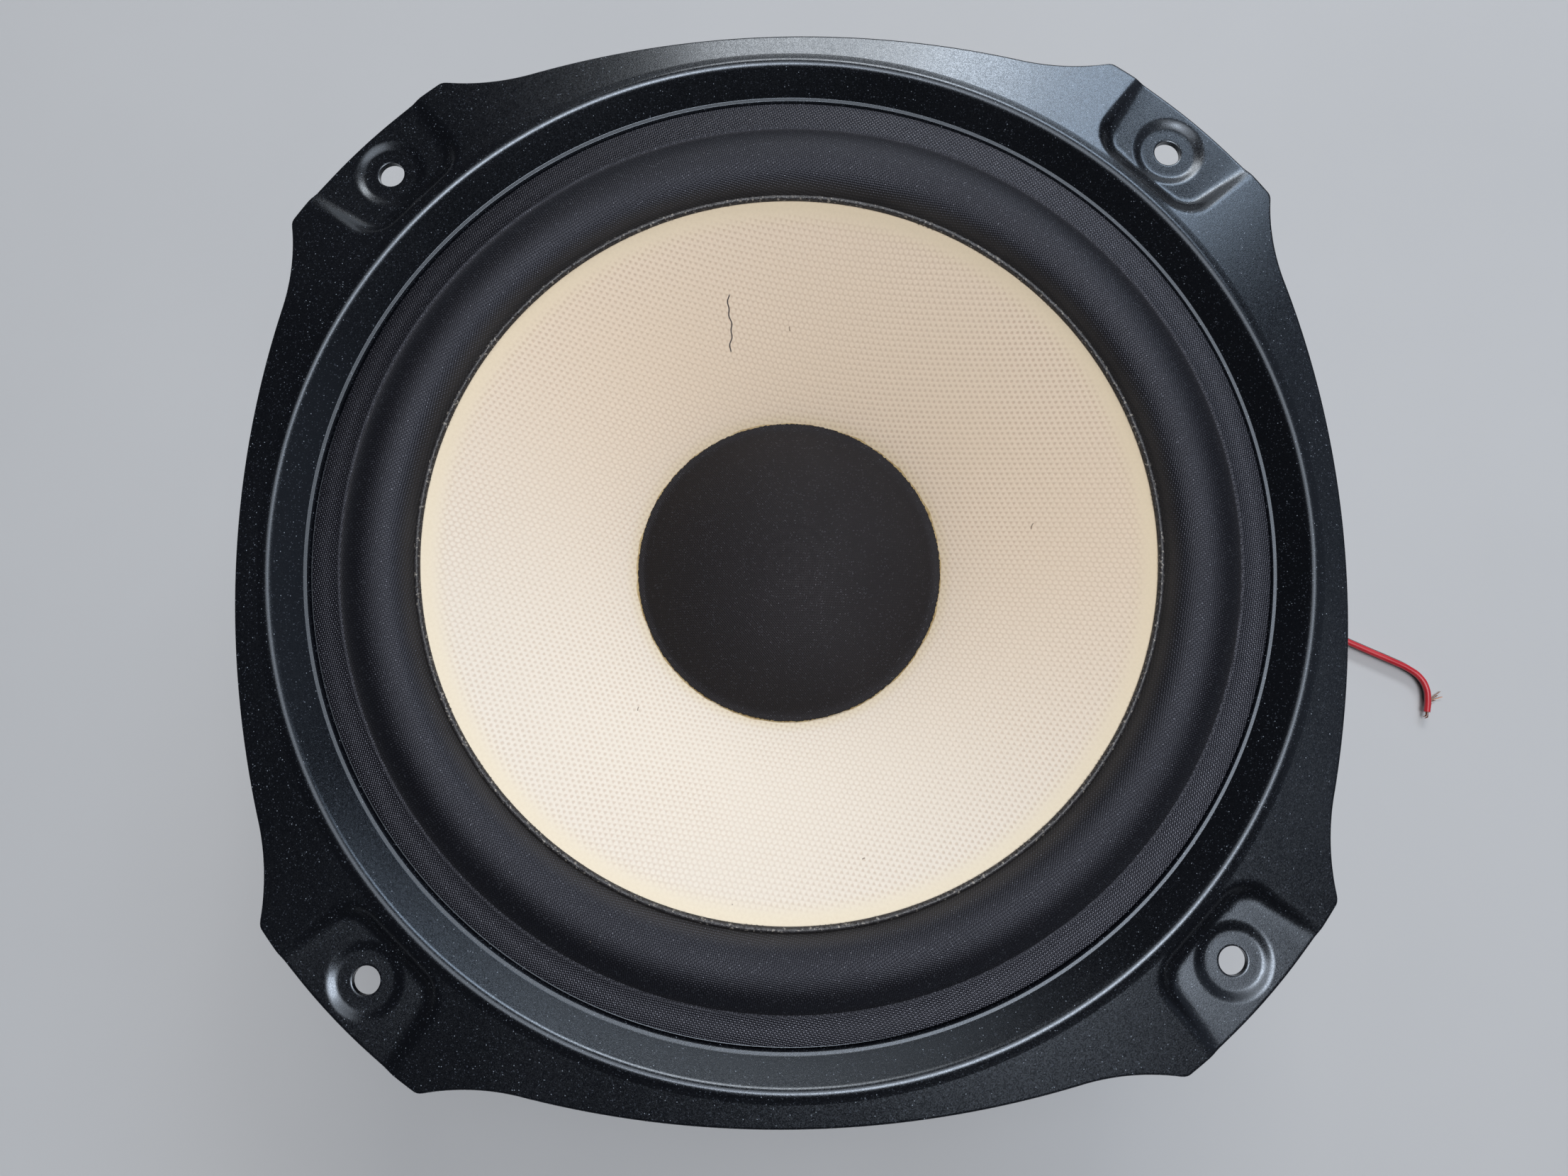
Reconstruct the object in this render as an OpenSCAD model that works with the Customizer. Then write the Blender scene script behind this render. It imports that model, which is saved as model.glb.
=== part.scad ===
// Eight-inch single-cone loudspeaker driver with a four-eared pressed steel frame.
// Z = 0 is the plane of the baffle it mounts on, +Z is the way it fires.

/* [Frame outline] */
// Half width across two opposite bulged sides
side_half_w = 97.8; // [96:0.1:100]
// Radius of the bulged sides
side_r = 188; // [180:1:200]
// Radius of the cut across each ear
ear_r = 111; // [110:0.5:114]
// Radius of the hollow between an ear and a bulged side
flare_r = 40; // [36:1:44]
// Bolt circle diameter
bolt_circle_d = 207; // [206:0.5:208]
// Diameter of the four mounting holes
bolt_hole_d = 4.9; // [4.5:0.1:5.5]

/* [Frame section] */
// Thickness of the pressed steel
sheet_t = 1.2; // [1:0.1:1.3]
// Height of the flange's face beside the ridge
flange_z = 5.2; // [5:0.1:5.5]
// Fall of the flange's face for each millimetre outwards
flange_fall = 0.133; // [0.1:0.001:0.14]
// Radius of the ridge round the flange's inner edge
ridge_r = 91.8; // [91.5:0.1:92]
// Radius of the step that the surround sits inside
step_r = 86.5; // [86.3:0.1:86.8]
// Height of the landing under the surround
landing_z = 0.5; // [0.4:0.1:0.6]
// Height of the flat in each ear's pad
pad_z = 2.5; // [2.4:0.1:2.6]
// Flat diameter at the bottom of each screw well
well_d = 10.2; // [9.5:0.1:10.5]

/* [Basket] */
// Inner radius of the rim under the landing
rim_r = 77.8; // [77.5:0.1:78]
// Level where the windows start
window_top_z = -10; // [-12:0.5:-9]
// Width of each of the four arms
arm_w = 26; // [22:1:30]
// Top of the shelf that carries the spider
shelf_z = -40; // [-40.5:0.5:-39.5]
// Depth of the cup below the shelf
cup_depth = 8.5; // [8:0.5:10]

/* [Motor] */
// Diameter of the two steel plates
plate_d = 96; // [94:1:98]
// Thickness of each steel plate
plate_t = 6; // [5:0.5:6]
// Diameter of the ferrite ring
magnet_d = 104; // [100:1:108]
// Thickness of the ferrite ring
magnet_t = 17; // [15:1:20]
// Diameter of the pole
pole_d = 37.2; // [37:0.1:37.3]
// Diameter of the vent through the pole
vent_d = 12; // [10:1:14]
// Inner diameter of the voice coil former
former_d = 38.1; // [38.1:0.1:38.2]
// Length of the voice coil winding
winding_l = 14; // [12:1:14]

/* [Cone] */
// Outer radius of the cone
cone_r = 66.9; // [66.5:0.1:67]
// Height of the cone's outer edge
cone_edge_z = 1.5; // [1.4:0.1:1.6]
// Height of the cone's face at its neck
cone_neck_z = -33; // [-33.5:0.1:-32.8]
// How much the cone's section bows towards the front
cone_bow = 0.12; // [0:0.01:0.15]
// Radius of the dust cap
cap_r = 30.3; // [30:0.1:31]
// Rise of the dust cap's dome above its rim
cap_rise = 7.4; // [6:0.1:8]

/* [Surround] */
// Radius where the roll meets its flat outer band
roll_outer_r = 80.7; // [80.5:0.1:81]
// Rise of the roll
roll_rise = 5; // [4.5:0.1:5.5]

/* [Leads] */
// Diameter of each insulated wire
wire_d = 1.5; // [1.4:0.1:1.5]
// Diameter of each braided lead to the voice coil
tinsel_d = 1.1; // [1:0.1:1.2]

/* [Hidden] */
$fn = 128;
EPS = 0.05;

side_offset = side_r - side_half_w;
flare_bite = 0.05;
flare_y = 58.2;
flare_x = sqrt(pow(side_r + flare_r - flare_bite, 2) - flare_y * flare_y) - side_offset;
flare_a = atan2(flare_y, flare_x + side_offset);
flare_start = [side_r * cos(flare_a) - side_offset + 1, side_r * sin(flare_a)];
ear_reach = ear_r + 2;
ear_half_w = 23;
hole_r = bolt_circle_d / 2;
step_h = 0.8;
flange_inner_r = 93;

slope_foot_r = 88.4;
wall_foot_r = 57;
shelf_outer_r = 55;
shelf_inner_r = 46.8;
cup_outer_r = 43;
cup_inner_r = 23;
window_reach = 80;
corner_cut = 1.2;

pad_corner_r = 5;
pad_corner_u = 99.8;
pad_half_w = 7.2;
pad_flare_a = 9;
well_top_d = well_d + 3.2;

bottom_z = shelf_z - cup_depth;
front_plate_top_z = bottom_z - sheet_t;
magnet_top_z = front_plate_top_z - plate_t;
back_plate_top_z = magnet_top_z - magnet_t;
base_z = back_plate_top_z - plate_t;
plate_bore_d = 40.8;
magnet_bore_d = 50;
rivet_circle_r = 39.5;
rivet_d = 4;
rivet_head_d = 6;
rivet_head_t = 1.2;
plate_chamfer = 1;
vent_chamfer = 2;
pole_chamfer = 0.6;
pole_stand = 0.5;

former_t = 0.15;
former_r = former_d / 2 + former_t;
former_top_z = cone_neck_z + 2.5;
winding_t = 0.5;
winding_mid_z = front_plate_top_z - plate_t / 2;
winding_top_z = winding_mid_z + winding_l / 2;
former_bottom_z = winding_mid_z - winding_l / 2 - 0.5;
collar_t = 0.3;
collar_r = former_r + collar_t;
collar_bottom_z = winding_top_z + 0.2;

cone_t = 0.7;
cone_neck_r = former_r + EPS;
cap_t = 0.5;
cap_rim_w = 1.3;
cap_rim_z = cone_z(cap_r) + EPS;

surround_t = 0.6;
band_z = landing_z + surround_t;
roll_inner_r = cone_r + 0.1;
spider_t = 0.5;
spider_top_z = shelf_z + spider_t;
spider_inner_r = collar_r + 0.1;
spider_flat_r = 47.5;
spider_outer_r = 53;
spider_rolls = 5;
spider_wave = 1.5;
spider_neck_w = 1.2;

tab_half_w = 17;
tab_inner_x = 53;
tab_reach = 69;
board_x = 58;
board_l = 10.5;
board_half_w = 13;
eyelet_d = 3;
eyelet_bore_d = 1.8;
eyelet_head_d = 5.2;
eyelet_head_t = 0.8;
board_t = 1.6;
board_z = shelf_z + EPS;
lug_z = board_z + board_t;
lug_t = 0.5;
lug_y = 7;
lug_w = 4.8;
lug_end_w = 3;
lug_inner_x = 56;
lug_outer_x = 76;
lug_top_z = lug_z + lug_t;
lug_rivet_x = 63.5;
outer_blob_r = 1.7;
inner_blob_r = 1.4;
strands_d = 0.5;
anchor_x = 18.9;
anchor_y = 5.9;
anchor_z = -37.6;
anchor_size = [2.4, 1.8, 1.4];

// Routes, inner end first, as [x, y, z]
black_route = [
    [75.2, 7, -37.1], [78.4, 7, -37.1], [82.2, 6.8, -38.1], [85.3, 6.4, -40.6],
    [87.4, 6.1, -44.2], [88.9, 5.8, -48.2], [90.3, 5.6, -52.3], [91.7, 5.5, -56.5],
    [93.3, 5.3, -61], [95.3, 5, -65.3], [97.9, 4.4, -69.3], [101.2, 3.3, -72.8],
    [105.2, 1.8, -75.6], [109.7, 0, -77.3], [114.2, -1.9, -77.9], [118.8, -3.8, -77.9],
    [123.4, -5.9, -77.9], [128, -8, -77.9], [132.6, -10.1, -77.9], [137.1, -12.3, -77.9],
    [141.6, -14.5, -77.9], [146, -16.6, -77.9], [149.9, -18.7, -77.9], [152.6, -21, -77.9],
    [153.9, -24, -77.9], [153.9, -26.6, -77.9]
];
red_route = [
    [75.2, -7, -37.1], [78.4, -7, -37.1], [82.2, -6.1, -37.8], [85.9, -3.8, -39.8],
    [88.6, -0.9, -43], [90.4, 1.5, -46.9], [91.8, 3, -51.3], [93.2, 3.8, -55.6],
    [94.7, 4.1, -60], [96.5, 4, -64.2], [98.9, 3.4, -67.9], [102, 2.4, -71.3],
    [105.7, 1, -74.1], [109.8, -0.6, -75.9], [114, -2.4, -76.5], [118.6, -4.3, -76.5],
    [123.2, -6.4, -76.5], [127.8, -8.5, -76.5], [132.4, -10.6, -76.5], [136.9, -12.8, -76.5],
    [141.4, -15, -76.5], [145.8, -17.1, -76.5], [149.6, -19.1, -76.5], [152.2, -21.3, -76.5],
    [153.4, -24, -76.5], [153.4, -27, -76.5], [152.9, -29.6, -76.5]
];
tinsel_route = [
    [56.9, 7, -37], [55.6, 7.1, -34.3], [52.2, 7.4, -31.9], [47.8, 7.8, -30.6],
    [43, 8.1, -30.3], [38.4, 8, -30.9], [34, 7.6, -32.3], [30.2, 7.1, -34.1],
    [27, 6.7, -35.7], [24.2, 6.2, -36.7], [21.5, 5.9, -36.9]
];

red_strand_route = [
    [152.9, -29.65, -76.5], [152.8, -30.4, -76.6], [152.4, -31.1, -76.9]
];
black_strand_route = [
    [153.9, -26.65, -77.9], [154.4, -27.3, -77.9], [155.3, -27.1, -78], [155.9, -26.2, -78.2],
    [156.6, -25.2, -78.3], [157.8, -24.6, -78.3]
];

// Height of the flange's face at radius r
function flange_face(r) = flange_z - flange_fall * (r - flange_inner_r);

// Height of the cone's face at radius r
function cone_z(r) =
    let (s = (r - cone_neck_r) / (cone_r - cone_neck_r))
    cone_neck_z + (cone_edge_z - cone_neck_z) * (s + cone_bow * s * (1 - s));

// Unit direction from point a to point b
function heading(a, b) = (b - a) / norm(b - a);

// Turns a section line into a sheet: the line itself, then the same line t below it
function sheet(line, t) = concat(line, [for (i = [len(line) - 1:-1:0]) lowered(line, i, t)]);
function lowered(line, i, t) =
    let (
        last = len(line) - 1,
        h0 = heading(line[max(i - 1, 0)], line[max(i, 1)]),
        h1 = heading(line[min(i, last - 1)], line[min(i + 1, last)]),
        n = [-h0[1] - h1[1], h0[0] + h1[0]],
        unit = n / norm(n)
    )
    line[i] + unit * t / (unit * [-h0[1], h0[0]]);

module ring(r_in, r_out, z0, z1) {
    translate([0, 0, z0])
        difference() {
            cylinder(h = z1 - z0, r = r_out);
            translate([0, 0, -1]) cylinder(h = z1 - z0 + 2, r = r_in);
        }
}

module at_corners() {
    for (a = [45:90:315]) rotate(a) children();
}

// Plan of the frame: four bulged sides and four ears, drawn in by inset
module outline(inset) {
    difference() {
        intersection() {
            circle(r = ear_r - inset);
            union() {
                intersection() {
                    translate([-side_offset, 0]) circle(r = side_r - inset);
                    translate([side_offset, 0]) circle(r = side_r - inset);
                    translate([0, -side_offset]) circle(r = side_r - inset);
                    translate([0, side_offset]) circle(r = side_r - inset);
                }
                for (a = [0:90:270]) rotate(a) ear_plan();
            }
        }
        for (a = [0:90:270]) rotate(a) {
            translate([flare_x, flare_y]) circle(r = flare_r + inset);
            translate([flare_y, flare_x]) circle(r = flare_r + inset);
        }
    }
}

module ear_plan() {
    polygon([
        [0, 0], flare_start,
        ear_tip(-1), ear_tip(1),
        [flare_start[1], flare_start[0]]
    ]);
}
function ear_tip(side) = [
    (ear_reach - side * ear_half_w) / sqrt(2), (ear_reach + side * ear_half_w) / sqrt(2)
];

// The flange filled in solid below a face that is lowered by drop
module flange_block(inset, drop, z0) {
    intersection() {
        translate([0, 0, z0]) linear_extrude(12) outline(inset);
        rotate_extrude()
            polygon([
                [flange_inner_r - 1, z0], [ear_reach, z0],
                [ear_reach, flange_face(ear_reach) - drop],
                [flange_inner_r - 1, flange_face(flange_inner_r - 1) - drop]
            ]);
    }
}

// Plan of the pad's hollow, open at the ear's outer cut, grown by grow
module pad_plan(grow) {
    r = pad_corner_r + grow;
    r_side = r - 0.04;
    side_start = [pad_corner_u - r_side * sin(pad_flare_a), pad_half_w + r_side * cos(pad_flare_a)];
    end_w = side_start[1] + (ear_reach - side_start[0]) * tan(pad_flare_a);
    for (side = [-1, 1]) translate([pad_corner_u, side * pad_half_w]) circle(r = r);
    polygon([
        [pad_corner_u - r_side, -pad_half_w], [pad_corner_u - r_side, pad_half_w],
        side_start, [ear_reach, end_w], [ear_reach, -end_w], [side_start[0], -side_start[1]]
    ]);
}

// The hollow of one pad with its screw well, grown by grow and lowered by drop
module pad_hollow(grow, drop) {
    translate([0, 0, pad_z - drop]) linear_extrude(8) pad_plan(grow);
    translate([hole_r, 0, sheet_t - drop])
        cylinder(h = pad_z - sheet_t + EPS, d1 = well_d + 2 * grow, d2 = well_top_d + 2 * grow);
}

module flange() {
    difference() {
        flange_block(0, 0, 0);
        at_corners() pad_hollow(0, 0);
        difference() {
            flange_block(sheet_t, sheet_t, -1);
            at_corners() pad_hollow(sheet_t, sheet_t);
        }
        at_corners() translate([hole_r, 0, -2]) cylinder(h = 12, d = bolt_hole_d);
    }
}

basket_line = [
    [flange_inner_r, flange_z], [ridge_r, flange_z + 0.2],
    [slope_foot_r, landing_z + step_h + 0.1], [step_r, landing_z + step_h],
    [step_r - 0.1, landing_z], [rim_r + corner_cut, landing_z],
    [rim_r, landing_z - corner_cut], [rim_r - corner_cut, window_top_z + 1],
    [wall_foot_r, shelf_z + 1.4], [shelf_outer_r, shelf_z],
    [shelf_inner_r, shelf_z], [shelf_inner_r - 1.4, shelf_z - 1.4],
    [cup_outer_r + corner_cut, bottom_z + corner_cut], [cup_outer_r, bottom_z], [cup_inner_r, bottom_z]
];

module window_cutter() {
    difference() {
        rotate_extrude()
            polygon([
                [cup_outer_r, shelf_z + EPS], [window_reach, shelf_z + EPS],
                [window_reach, window_top_z], [cup_outer_r, window_top_z]
            ]);
        at_corners()
            translate([cup_outer_r / 2, -arm_w / 2, shelf_z - 1]) cube([window_reach, arm_w, -shelf_z]);
    }
}

module basket() {
    color("#1c1e22") {
        flange();
        difference() {
            rotate_extrude() polygon(sheet(basket_line, sheet_t));
            window_cutter();
            at_corners()
                translate([rivet_circle_r, 0, front_plate_top_z - 1]) cylinder(h = 4, d = rivet_d);
        }
        terminal_tab();
    }
}

module terminal_tab() {
    difference() {
        translate([tab_inner_x, -tab_half_w, shelf_z - sheet_t])
            cube([tab_reach - tab_inner_x, 2 * tab_half_w, sheet_t]);
        translate([lug_rivet_x, 0, shelf_z - 2]) cylinder(h = 4, d = eyelet_d);
    }
}

module surround() {
    width = roll_outer_r - roll_inner_r;
    mid = roll_inner_r + width / 2;
    arc_r = (width * width / 4 + roll_rise * roll_rise) / (2 * roll_rise);
    arc_a = asin(width / 2 / arc_r);
    roll = [
        for (i = [0:16]) let (a = arc_a * (1 - i / 8))
            [mid + arc_r * sin(a), band_z + roll_rise - arc_r * (1 - cos(a))]
    ];
    color("#17181a")
        rotate_extrude() polygon(sheet(concat([[step_r - 0.3, band_z]], roll), surround_t));
}

module cone() {
    steps = 8;
    line = [
        for (i = [0:steps]) let (r = cone_r + (cone_neck_r - cone_r) * i / steps) [r, cone_z(r)]
    ];
    color("#e3d3ac")
        intersection() {
            rotate_extrude() polygon(sheet(line, cone_t));
            ring(cone_neck_r, cone_r, cone_neck_z - 3, cone_edge_z + 1);
        }
}

module edge_glue() {
    r0 = cone_r - 0.8;
    color("#26272a")
        rotate_extrude()
            polygon([
                [r0, cone_z(r0) + EPS], [cone_r, cone_edge_z + EPS],
                [cone_r, cone_edge_z + 0.4], [r0 + 0.2, cone_z(r0) + 0.5]
            ]);
}

module dust_cap() {
    base_r = cap_r - cap_rim_w;
    dome_r = (base_r * base_r + cap_rise * cap_rise) / (2 * cap_rise);
    dome_a = asin(base_r / dome_r);
    dome = [
        for (i = [0:12]) let (a = dome_a * (1 - i / 12))
            [dome_r * sin(a), cap_rim_z + cap_t + cap_rise - dome_r * (1 - cos(a))]
    ];
    color("#1b1b1d")
        rotate_extrude() intersection() {
            polygon(sheet(concat([[cap_r, cap_rim_z + cap_t]], dome), cap_t));
            translate([0, cone_neck_z]) square([cap_r, -cone_neck_z]);
        }
}

module dust_cap_glue() {
    r0 = cap_r + EPS;
    r1 = cap_r + 1.2;
    color("#d9c486")
        rotate_extrude()
            polygon([[r0, cone_z(r0) + EPS], [r1, cone_z(r1) + EPS], [r0, cone_z(r0) + 0.45]]);
}

module voice_coil_former() {
    color("#b5793a") ring(former_d / 2, former_r, former_bottom_z, former_top_z);
}

module voice_coil_winding() {
    color("#b4632e")
        ring(former_r, former_r + winding_t, winding_mid_z - winding_l / 2, winding_top_z);
}

module former_collar() {
    color("#c9b48a") ring(former_r, collar_r, collar_bottom_z, cone_neck_z - 2.6);
}

module neck_glue() {
    z = cone_neck_z - 1.1;
    color("#8a6a2c")
        rotate_extrude()
            polygon([[former_r, z], [former_r, z - 1.4], [former_r + 0.5, z - 1.4], [former_r + 1.3, z]]);
}

module spider() {
    span = spider_flat_r - spider_inner_r - spider_neck_w;
    steps = spider_rolls * 8;
    line = [
        for (i = [0:steps])
            let (r = spider_flat_r - span * i / steps)
                [r, spider_top_z + spider_wave * sin(360 * spider_rolls * i / steps)]
    ];
    color("#c8a24e")
        rotate_extrude()
            polygon(sheet(
                concat([[spider_outer_r, spider_top_z]], line, [[spider_inner_r, spider_top_z]]),
                spider_t
            ));
}

module front_plate() {
    color("#9a9ca0")
        difference() {
            ring(plate_bore_d / 2, plate_d / 2, magnet_top_z, front_plate_top_z);
            at_corners()
                translate([rivet_circle_r, 0, magnet_top_z - 1]) cylinder(h = plate_t + 2, d = rivet_d);
        }
}

module ferrite_magnet() {
    color("#3a3b3d") ring(magnet_bore_d / 2, magnet_d / 2, back_plate_top_z, magnet_top_z);
}

module back_plate() {
    color("#9a9ca0")
        rotate_extrude()
            polygon([
                [vent_d / 2 + vent_chamfer, base_z], [plate_d / 2 - plate_chamfer, base_z],
                [plate_d / 2, base_z + plate_chamfer], [plate_d / 2, back_plate_top_z],
                [vent_d / 2, back_plate_top_z], [vent_d / 2, base_z + vent_chamfer]
            ]);
}

module pole_piece() {
    top = front_plate_top_z + pole_stand;
    color("#8b8d91")
        rotate_extrude()
            polygon([
                [vent_d / 2, back_plate_top_z], [pole_d / 2, back_plate_top_z],
                [pole_d / 2, top - pole_chamfer], [pole_d / 2 - pole_chamfer, top],
                [vent_d / 2 + vent_chamfer, top], [vent_d / 2, top - vent_chamfer]
            ]);
}

module staking_rivets() {
    color("#7d7f83")
        at_corners() translate([rivet_circle_r, 0, 0]) {
            translate([0, 0, magnet_top_z + EPS]) cylinder(h = bottom_z - magnet_top_z, d = rivet_d);
            translate([0, 0, bottom_z]) cylinder(h = rivet_head_t, d1 = rivet_head_d, d2 = rivet_d + 0.6);
        }
}

module terminal_board() {
    color("#7a4a24")
        difference() {
            translate([board_x, -board_half_w, board_z]) cube([board_l, 2 * board_half_w, board_t]);
            for (y = [-lug_y, 0, lug_y])
                translate([lug_rivet_x, y, board_z - 1]) cylinder(h = 4, d = eyelet_d);
        }
}

module terminal_board_rivet() {
    color("#b9bbbe") {
        translate([lug_rivet_x, 0, shelf_z - sheet_t - EPS]) cylinder(h = 3.2, d = eyelet_d);
        translate([lug_rivet_x, 0, lug_z + EPS])
            cylinder(h = eyelet_head_t, d1 = eyelet_head_d, d2 = eyelet_d + 1);
        translate([lug_rivet_x, 0, shelf_z - sheet_t - eyelet_head_t - EPS])
            cylinder(h = eyelet_head_t, d1 = eyelet_d + 1, d2 = eyelet_head_d);
    }
}

module lug(side) {
    color("#c9b067")
        difference() {
            translate([0, side * lug_y, lug_z]) {
                translate([lug_inner_x + 2, -lug_w / 2, 0]) cube([16.5, lug_w, lug_t]);
                translate([lug_inner_x, -lug_end_w / 2, 0]) cube([3, lug_end_w, lug_t]);
                translate([lug_outer_x - 3, -lug_end_w / 2, 0]) cube([3, lug_end_w, lug_t]);
            }
            translate([lug_rivet_x, side * lug_y, lug_z - 1]) cylinder(h = 3, d = eyelet_d);
        }
}

module lug_rivets() {
    color("#c9b067")
        for (side = [-1, 1]) translate([lug_rivet_x, side * lug_y, 0])
            difference() {
                union() {
                    translate([0, 0, board_z + EPS]) cylinder(h = lug_top_z - board_z, d = eyelet_d);
                    translate([0, 0, lug_top_z]) cylinder(h = 0.6, d1 = lug_w, d2 = eyelet_d + 1);
                }
                translate([0, 0, board_z - 1]) cylinder(h = 5, d = eyelet_bore_d);
            }
}

module solder_blob(x, y, z, r) {
    translate([x, y, z]) intersection() {
        translate([0, 0, -r * 0.4]) sphere(r = r);
        translate([-r, -r, 0]) cube(2 * r);
    }
}

module solder_joints() {
    color("#bfc1c4")
        for (side = [-1, 1]) {
            solder_blob(lug_outer_x - 2.4, side * lug_y, lug_top_z, outer_blob_r);
            solder_blob(lug_inner_x + 2.6, side * lug_y, lug_top_z, inner_blob_r);
        }
}

// A tube of eight sides that follows a route, with flat ends
module tube(route, d) {
    sides = 8;
    last = len(route) - 1;
    rings = [for (i = [0:last]) tube_ring(route, i, d / 2, sides)];
    points = [for (ring_points = rings) each ring_points];
    walls = [
        for (i = [0:last - 1], k = [0:sides - 1])
            let (a = i * sides + k, b = i * sides + (k + 1) % sides)
                each [[a, b, b + sides], [a, b + sides, a + sides]]
    ];
    start = [for (k = [sides - 1:-1:0]) k];
    end = [for (k = [0:sides - 1]) last * sides + k];
    polyhedron(points = points, faces = concat([start, end], walls), convexity = 8);
}
function tube_ring(route, i, r, sides) =
    let (
        last = len(route) - 1,
        t = heading(route[max(i - 1, 0)], route[min(i + 1, last)]),
        u = heading([0, 0, 0], cross([1, 2, 1], t)),
        v = cross(t, u)
    )
    [for (k = [0:sides - 1]) route[i] + r * (cos(360 * k / sides) * u + sin(360 * k / sides) * v)];

function mirrored(route) = [for (p = route) [p[0], -p[1], p[2]]];

module tinsel_lead(side) {
    color("#a8743e") tube(side > 0 ? tinsel_route : mirrored(tinsel_route), tinsel_d);
}

module tinsel_anchors() {
    color("#a5702c")
        for (side = [-1, 1])
            translate([anchor_x, side * anchor_y - anchor_size[1] / 2, anchor_z]) cube(anchor_size);
}

module wire_strands(route) {
    color("#b06a38") tube(route, strands_d);
}

basket();
surround();
cone();
edge_glue();
dust_cap();
dust_cap_glue();
voice_coil_former();
voice_coil_winding();
former_collar();
neck_glue();
spider();
front_plate();
ferrite_magnet();
back_plate();
pole_piece();
staking_rivets();
terminal_board();
terminal_board_rivet();
lug(-1);  // lug_positive
lug(1);  // lug_negative
lug_rivets();
solder_joints();
tinsel_lead(-1);  // tinsel_lead_positive
tinsel_lead(1);  // tinsel_lead_negative
tinsel_anchors();
color("#b3182a") tube(red_route, wire_d);  // red_wire
color("#1a1a1c") tube(black_route, wire_d);  // black_wire
wire_strands(red_strand_route);  // red_wire_strands
wire_strands(black_strand_route);  // black_wire_strands
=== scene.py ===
import math

import bmesh
import bpy
import numpy as np
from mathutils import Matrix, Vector


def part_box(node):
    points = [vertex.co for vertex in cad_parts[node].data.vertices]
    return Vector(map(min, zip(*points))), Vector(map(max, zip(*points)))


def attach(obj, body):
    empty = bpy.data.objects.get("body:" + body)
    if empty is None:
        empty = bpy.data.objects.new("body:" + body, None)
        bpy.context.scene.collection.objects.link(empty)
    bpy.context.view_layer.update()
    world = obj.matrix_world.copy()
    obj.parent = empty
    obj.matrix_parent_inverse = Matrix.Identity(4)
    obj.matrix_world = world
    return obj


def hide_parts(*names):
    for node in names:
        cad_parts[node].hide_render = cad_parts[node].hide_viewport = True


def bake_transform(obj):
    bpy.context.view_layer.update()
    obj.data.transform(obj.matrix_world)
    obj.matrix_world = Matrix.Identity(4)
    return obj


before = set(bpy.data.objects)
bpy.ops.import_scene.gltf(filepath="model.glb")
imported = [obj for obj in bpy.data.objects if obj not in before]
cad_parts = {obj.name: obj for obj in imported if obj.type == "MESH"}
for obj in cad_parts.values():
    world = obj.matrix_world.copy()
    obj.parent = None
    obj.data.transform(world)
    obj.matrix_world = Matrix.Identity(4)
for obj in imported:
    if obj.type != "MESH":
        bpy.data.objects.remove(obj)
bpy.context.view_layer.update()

MM = 0.001
STILL = "frame_and_motor"
MOVING = "cone_and_coil"
rng = np.random.default_rng(11)


# ---------------------------------------- sizes, in millimetres

def low(node, axis):
    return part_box(node)[0][axis] / MM


def high(node, axis):
    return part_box(node)[1][axis] / MM


SHEET = 1.2
SIDE_W = high("basket", 0)
EAR_R = 111.6
SIDE_R = 188.0
FLARE = (131.3, 56.1, 40.5)  # middle and radius of the arc beside an ear
HOLE = (103.5, 2.45)  # distance from the axis, and radius
RIDGE_R = 91.85
FACE_R = 93.8
PAD_Z = 2.5
PAD_SLOPE = 0.045
WELL_R = 4.75
WELL_WALL = 2.2
WELL_DEPTH = 0.5
WELL_RADII = (7.1, 6.85, 6.6, 6.3, 6.0, 5.7, 5.4, 5.15, 4.95, 4.75, 4.1, 3.4, 3.0, 2.85, 2.7, 2.56, 2.45)
BLOCK_HALF = 7.445  # of the block of points that each well replaces
EAR_COLUMNS = (75, 97)  # where that block lies
LIP_R = 0.4
LANDING_R = 80.5
LANDING_Z = 0.5
SHELF_Z = -40.0
CUP_Z = -48.5
WINDOW_Z = -10.3
ARM_HALF = 13.0
CONE_R = high("cone", 0)
CONE_EDGE_Z = high("cone", 2)
CONE_NECK_R = 19.25
CONE_NECK_Z = -33.0
CONE_BOW = 0.12
CAP_R = high("dust_cap", 0)
ROLL_OUT = 80.7
ROLL_IN = 67.0
ROLL_RISE = 3.6
BAND_Z = 1.1
FLOOR_Z = low("back_plate", 2)


# ---------------------------------------- camera, lights and floor

def make_camera():
    data = bpy.data.cameras.new("camera")
    data.lens = 26.365
    data.sensor_width = 36.0
    data.clip_start = 0.01
    cam = bpy.data.objects.new("camera", data)
    cam.location = (0.00052, -0.03946, 0.20344)
    cam.rotation_euler = (0.1558, 0.0107, -0.0236)
    bpy.context.scene.collection.objects.link(cam)
    bpy.context.scene.camera = cam
    bpy.context.scene.view_settings.view_transform = "Standard"


def area_light(name, azimuth, elevation, distance, size, power, tint):
    """A soft light; azimuth is from +Y towards +X, and it faces the object."""
    data = bpy.data.lights.new(name, "AREA")
    data.shape = "RECTANGLE"
    data.size, data.size_y = size
    data.energy = power
    data.color = tint
    lamp = bpy.data.objects.new(name, data)
    a, e = math.radians(azimuth), math.radians(elevation)
    way = Vector((math.sin(a) * math.cos(e), math.cos(a) * math.cos(e), math.sin(e)))
    lamp.location = way * distance
    lamp.rotation_euler = way.to_track_quat("Z", "Y").to_euler()
    bpy.context.scene.collection.objects.link(lamp)


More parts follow.
